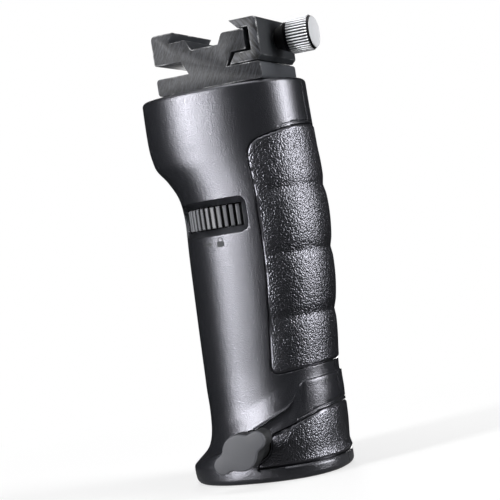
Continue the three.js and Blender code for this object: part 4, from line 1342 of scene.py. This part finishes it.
def build_sign(sizes, material):
    """Cuts each sign from a thin shell just over the grip's skin."""
    for name, outline in sign_outlines().items():
        print_piece = extruded(name, outline, "y", FRONT, AXIS.y)
        combine(print_piece, skin("print_top", sizes, SIGN_PRINT), "INTERSECT")
        cut(print_piece, skin("print_base", sizes, SIGN_PRINT / 6))
        finished(print_piece, "handle", material)


class GRIP_OT_shells(bpy.types.Operator):
    """Moulds the two shells of the grip, with their pockets and recess"""

    bl_idname = "grip.shells"
    bl_label = "Moulded shells"

    def execute(self, context):
        scene = context.scene
        build_shells(scene.grip_sizes, moulded_abs(scene.grip_colours, scene.grip_sizes))
        return {"FINISHED"}


class GRIP_OT_sign(bpy.types.Operator):
    """Prints the plain arrow and padlock beside the wheel"""

    bl_idname = "grip.sign"
    bl_label = "Printed sign"

    def execute(self, context):
        build_sign(context.scene.grip_sizes, even("pad_printed_ink"))
        return {"FINISHED"}


class GRIP_OT_rubber(bpy.types.Operator):
    """Moulds the finger pad and the foot band"""

    bl_idname = "grip.rubber"
    bl_label = "Rubber parts"

    def execute(self, context):
        scene = context.scene
        build_rubber(scene.grip_sizes, grained_rubber(scene.grip_colours, scene.grip_sizes))
        return {"FINISHED"}


class GRIP_OT_plates(bpy.types.Operator):
    """Makes the base plate, the top plate, the stand socket and the socket screws"""

    bl_idname = "grip.plates"
    bl_label = "Plates, socket and screws"

    def execute(self, context):
        sizes = context.scene.grip_sizes
        build_plates(sizes, bpy.data.materials["moulded_abs"], even("anodised_plate"))
        # Steel from the boring lathe: light grey, with fine rings that fan the light out
        build_socket(turned_metal("bored_steel", "a9abae", 0.32, 2, centre("spigot_bush"), 0.2 * MM))
        build_screws(even("zinc_plated_steel"))
        return {"FINISHED"}


class GRIP_OT_head(bpy.types.Operator):
    """Saws the head block and the movable jaw from their extrusions"""

    bl_idname = "grip.head"
    bl_label = "Clamp head"

    def execute(self, context):
        colours = context.scene.grip_colours
        build_head(
            sawn_aluminium("sawn_anodised_block", colours, colours.anodised, math.radians(-28)),
            # The jaw's darker copy of the anodised sides is painted shade
            sawn_aluminium("sawn_anodised_jaw_shaded", colours, colours.jaw, math.radians(32), 0.9 * MM, 0.05),
        )
        return {"FINISHED"}


class GRIP_OT_wheel(bpy.types.Operator):
    """Moulds the ribbed thumb wheel"""

    bl_idname = "grip.wheel"
    bl_label = "Thumb wheel"

    def execute(self, context):
        # Acetal, satin from its mould, with painted shade darkening the gaps between its ribs
        settings = {"Roughness": 0.45, "IOR": 1.48}
        ends = [WHEEL_RADIUS - WHEEL_RIB_DEPTH * share for share in WHEEL_SHADE_SHARES]
        tone = context.scene.grip_colours.wheel
        build_wheel(ribbed("moulded_acetal", settings, "08080a", tone, 2, WHEEL, *ends, 0.3))
        return {"FINISHED"}


class GRIP_OT_wing(bpy.types.Operator):
    """Moulds the wing knob and its collar"""

    bl_idname = "grip.wing"
    bl_label = "Wing screw"

    def execute(self, context):
        knob = front_grey_nylon(context.scene.grip_colours.wing, WING_LOW.y + WING_GREY_DEPTH)
        build_wing(knob, even("black_nylon"))
        return {"FINISHED"}


class GRIP_OT_knob(bpy.types.Operator):
    """Turns and knurls the clamp screw's knob, and its collar"""

    bl_idname = "grip.knob"
    bl_label = "Clamp knob"

    def execute(self, context):
        tone = context.scene.grip_colours.chrome
        _, high, middle, radius = round_box("knurled_knob", "z")
        # Nickel-chrome plate on brass: bright ridges, with painted shade darkening the gaps between them, and
        # a satin face
        settings = {"Roughness": 0.4, "Metallic": 0.7}
        ends = [radius - KNOB_RIDGE_DEPTH * share for share in KNOB_SHADE_SHARES]
        face = (high.x - KNOB_CHAMFER * KNOB_FACE_SHARE, "b8b9bc")
        chrome = ribbed("chrome_plated_brass", settings, "101012", tone, 0, middle, *ends, 0.02, face)
        build_knob(chrome, bpy.data.materials["black_nylon"])
        return {"FINISHED"}


class GRIP_OT_hidden(bpy.types.Operator):
    """Gives the inner CAD pieces their finishes"""

    bl_idname = "grip.hidden"
    bl_label = "Inner pieces"

    def execute(self, context):
        for finish, names in INNER.items():
            material = even(finish)
            for name in names:
                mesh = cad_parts[name].data
                mesh.materials.clear()
                mesh.materials.append(material)
        return {"FINISHED"}


# Studio
CAMERA_TURN = math.radians(22)
CAMERA_ROLL = math.radians(8.5)
CAMERA_AWAY = 500 * MM
CAMERA_HEIGHT = 74.5 * MM
CAMERA_LENS = 108
CAMERA_SENSOR = 36
CAMERA_CLIP = (0.01, 10)
WHITE = (1, 1, 1, 1)
FLOOR_RADIUS = 1.5
# Painted reflection of the floor in gloss: its glow close to the foot, and the radius where it ends
FLOOR_REFLECTION_GLOW = 0.15
FLOOR_REFLECTION_GLOW_END = 0.07
FLOOR_SHADE = 0.6
FLOOR_FOOT = 0.05
FLOOR_WHITE = 0.25
CURTAIN_RADIUS = 1.3
CURTAIN_HEIGHT = 1.6
STAGE_SIDES = 96
LAMP_AWAY = 0.9
LAMP_HEIGHT = 0.2
SOFT_LIGHT = 0.25

# Soft boxes round the grip: the turn in degrees, the width, the height and the power
BOXES = {
    "left_box": (-55, 0.14, 0.8, 14.5),
    "right_box": (74, 0.36, 0.8, 14),
    "back_box": (180, 0.2, 0.8, 4),
}
TOP_BOX = (0.6, 0.6, 4)
TOP_BOX_FRONT = 0.1
TOP_BOX_HEIGHT = 1.2


def polar(turn, radius, height):
    """Point round the grip: turn 0 is where the camera stands, and positive goes to the camera's right."""
    angle = math.radians(-90) + CAMERA_TURN + turn
    return Vector((AXIS.x + radius * math.cos(angle), AXIS.y + radius * math.sin(angle), height))


def add_camera():
    """Camera at the photograph's place, tipped so that the grip leans to the left."""
    data = bpy.data.cameras.new("camera")
    data.lens, data.sensor_width = CAMERA_LENS, CAMERA_SENSOR
    data.clip_start, data.clip_end = CAMERA_CLIP
    camera = linked("camera", data)
    bpy.context.scene.camera = camera
    look = Vector((-math.sin(CAMERA_TURN), math.cos(CAMERA_TURN), 0))
    right = Vector((math.cos(CAMERA_TURN), math.sin(CAMERA_TURN), 0))
    up = Vector((0, 0, 1))
    c, s = math.cos(CAMERA_ROLL), math.sin(CAMERA_ROLL)
    x_axis, y_axis = right * c - up * s, right * s + up * c
    spot = Vector((AXIS.x, AXIS.y, CAMERA_HEIGHT)) - look * CAMERA_AWAY
    basis = Matrix((x_axis, y_axis, -look)).transposed().to_4x4()
    camera.matrix_world = Matrix.Translation(spot) @ basis


def add_lamp(name, spot, width, height, power):
    """Soft box at a place, turned to the grip's middle."""
    data = bpy.data.lights.new(name, "AREA")
    data.shape = "RECTANGLE"
    data.size, data.size_y = width, height
    data.energy = power
    lamp = linked(name, data)
    lamp.location = spot
    aim = Vector((AXIS.x, AXIS.y, CAMERA_HEIGHT))
    lamp.rotation_euler = (aim - spot).to_track_quat("-Z", "Y").to_euler()


def add_world():
    """White surroundings for the camera and for reflections, and a quiet grey for soft light."""
    world = bpy.data.worlds.new("studio")
    bpy.context.scene.world = world
    world.use_nodes = True
    world.node_tree.nodes.clear()
    nodes = Nodes(world.node_tree)
    path = nodes.add("LightPath")
    values = {0: path["Is Camera Ray"], 1: path["Is Glossy Ray"]}
    seen = nodes.add("Math", values, operation="MAXIMUM")["Value"]
    shown = nodes.add("Math", {0: seen, 1: path["Is Transmission Ray"]}, operation="MAXIMUM")["Value"]
    strength = nodes.add("MapRange", {"Value": shown, "To Min": SOFT_LIGHT})["Result"]
    sky = nodes.add("Background", {"Color": WHITE, "Strength": strength})["Background"]
    nodes.add("OutputWorld", {"Surface": sky})


def add_floor():
    """Pale floor that keeps the grip's shadow near it and turns into the white surroundings further off.
    To gloss it shows a painted reflection: a faint white glow close to the foot, and black further out."""
    bpy.ops.object.select_all(action="DESELECT")
    circle = {"vertices": STAGE_SIDES, "radius": FLOOR_RADIUS, "fill_type": "NGON", "location": (0, 0, 0)}
    bpy.ops.mesh.primitive_circle_add(**circle)
    floor = bpy.context.object
    floor.name = "floor"
    paper = Finish("white_paper", {"Base Color": colour("f2f2f2"), "Roughness": 0.9})
    away = paper.add("VectorMath", {0: paper.place}, operation="LENGTH")["Value"]
    values = {"Value": away, "From Min": FLOOR_FOOT, "From Max": FLOOR_WHITE, "To Min": FLOOR_SHADE}
    far = paper.add("MapRange", values, interpolation_type="SMOOTHSTEP")["Result"]
    # Painted reflection: gloss sees the floor glow faintly close to the foot, and black further out
    values = {"Value": away, "From Min": FLOOR_FOOT, "From Max": FLOOR_REFLECTION_GLOW_END, "To Min": FLOOR_REFLECTION_GLOW}
    reflection_glow = paper.add("MapRange", {**values, "To Max": 0.0}, interpolation_type="SMOOTHSTEP")["Result"]
    path = paper.add("LightPath")
    glossy = path["Is Glossy Ray"]
    values = {0: path["Is Camera Ray"], 1: path["Is Transmission Ray"]}
    shown = paper.add("Math", values, operation="MAXIMUM")["Value"]
    share = paper.add("Math", {0: far, 1: shown, 2: glossy}, operation="MULTIPLY_ADD")["Value"]
    strength = paper.add("Math", {0: reflection_glow, 1: glossy, 2: shown}, operation="MULTIPLY_ADD")["Value"]
    glow = paper.add("Emission", {"Color": WHITE, "Strength": strength})["Emission"]
    mixed = paper.add("MixShader", {0: share, 1: paper.shader.outputs["BSDF"], 2: glow})["Shader"]
    paper.feed(paper.tree.nodes["Material Output"].inputs["Surface"], mixed)
    floor.data.materials.append(paper.material)


def add_curtain():
    """Dark curtain round the set, unseen by the camera, which gives the gloss its dark parts."""
    turns = [2 * math.pi * side / STAGE_SIDES for side in range(STAGE_SIDES)]
    ring = [(CURTAIN_RADIUS * math.cos(turn), CURTAIN_RADIUS * math.sin(turn)) for turn in turns]
    points = [(x, y, height) for height in (0, CURTAIN_HEIGHT) for x, y in ring]
    curtain = new_object("curtain", points, ring_faces(2, STAGE_SIDES))
    curtain.visible_camera = False
    cloth = Finish("dark_curtain", {"Base Color": colour("101011"), "Roughness": 1.0})
    curtain.data.materials.append(cloth.material)


class GRIP_OT_stage(bpy.types.Operator):
    """Sets up the floor, the soft boxes, the surroundings and the camera"""

    bl_idname = "grip.stage"
    bl_label = "Studio"

    def execute(self, context):
        context.scene.view_settings.view_transform = "Standard"
        add_world()
        add_floor()
        add_curtain()
        for name, (turn, *settings) in BOXES.items():
            add_lamp(name, polar(math.radians(turn), LAMP_AWAY, LAMP_HEIGHT), *settings)
        add_lamp("top_box", Vector((AXIS.x, AXIS.y - TOP_BOX_FRONT, TOP_BOX_HEIGHT)), *TOP_BOX)
        add_camera()
        return {"FINISHED"}


STEPS = (
    GRIP_OT_shells,
    GRIP_OT_sign,
    GRIP_OT_rubber,
    GRIP_OT_plates,
    GRIP_OT_head,
    GRIP_OT_wheel,
    GRIP_OT_wing,
    GRIP_OT_knob,
    GRIP_OT_hidden,
    GRIP_OT_stage,
)


class GRIP_PT_panel(bpy.types.Panel):
    """Lists the grip's pieces in the order in which they are built"""

    bl_label = "Clamp head grip"
    bl_idname = "GRIP_PT_panel"
    bl_space_type = "VIEW_3D"
    bl_region_type = "UI"
    bl_category = "Grip"

    def draw(self, context):
        for group in (context.scene.grip_sizes, context.scene.grip_colours):
            for name in group.bl_rna.properties.keys():
                if name not in ("name", "rna_type"):
                    self.layout.prop(group, name)
        for step in STEPS:
            self.layout.operator(step.bl_idname)


CLASSES = (GripSizes, GripColours, *STEPS, GRIP_PT_panel)


def register():
    for kind in CLASSES:
        bpy.utils.register_class(kind)
    bpy.types.Scene.grip_sizes = bpy.props.PointerProperty(type=GripSizes)
    bpy.types.Scene.grip_colours = bpy.props.PointerProperty(type=GripColours)


def unregister():
    del bpy.types.Scene.grip_sizes
    del bpy.types.Scene.grip_colours
    for kind in reversed(CLASSES):
        bpy.utils.unregister_class(kind)


def main():
    register()
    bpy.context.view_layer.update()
    for step in STEPS:
        family, name = step.bl_idname.split(".")
        getattr(getattr(bpy.ops, family), name)()


if __name__ == "__main__":
    main()
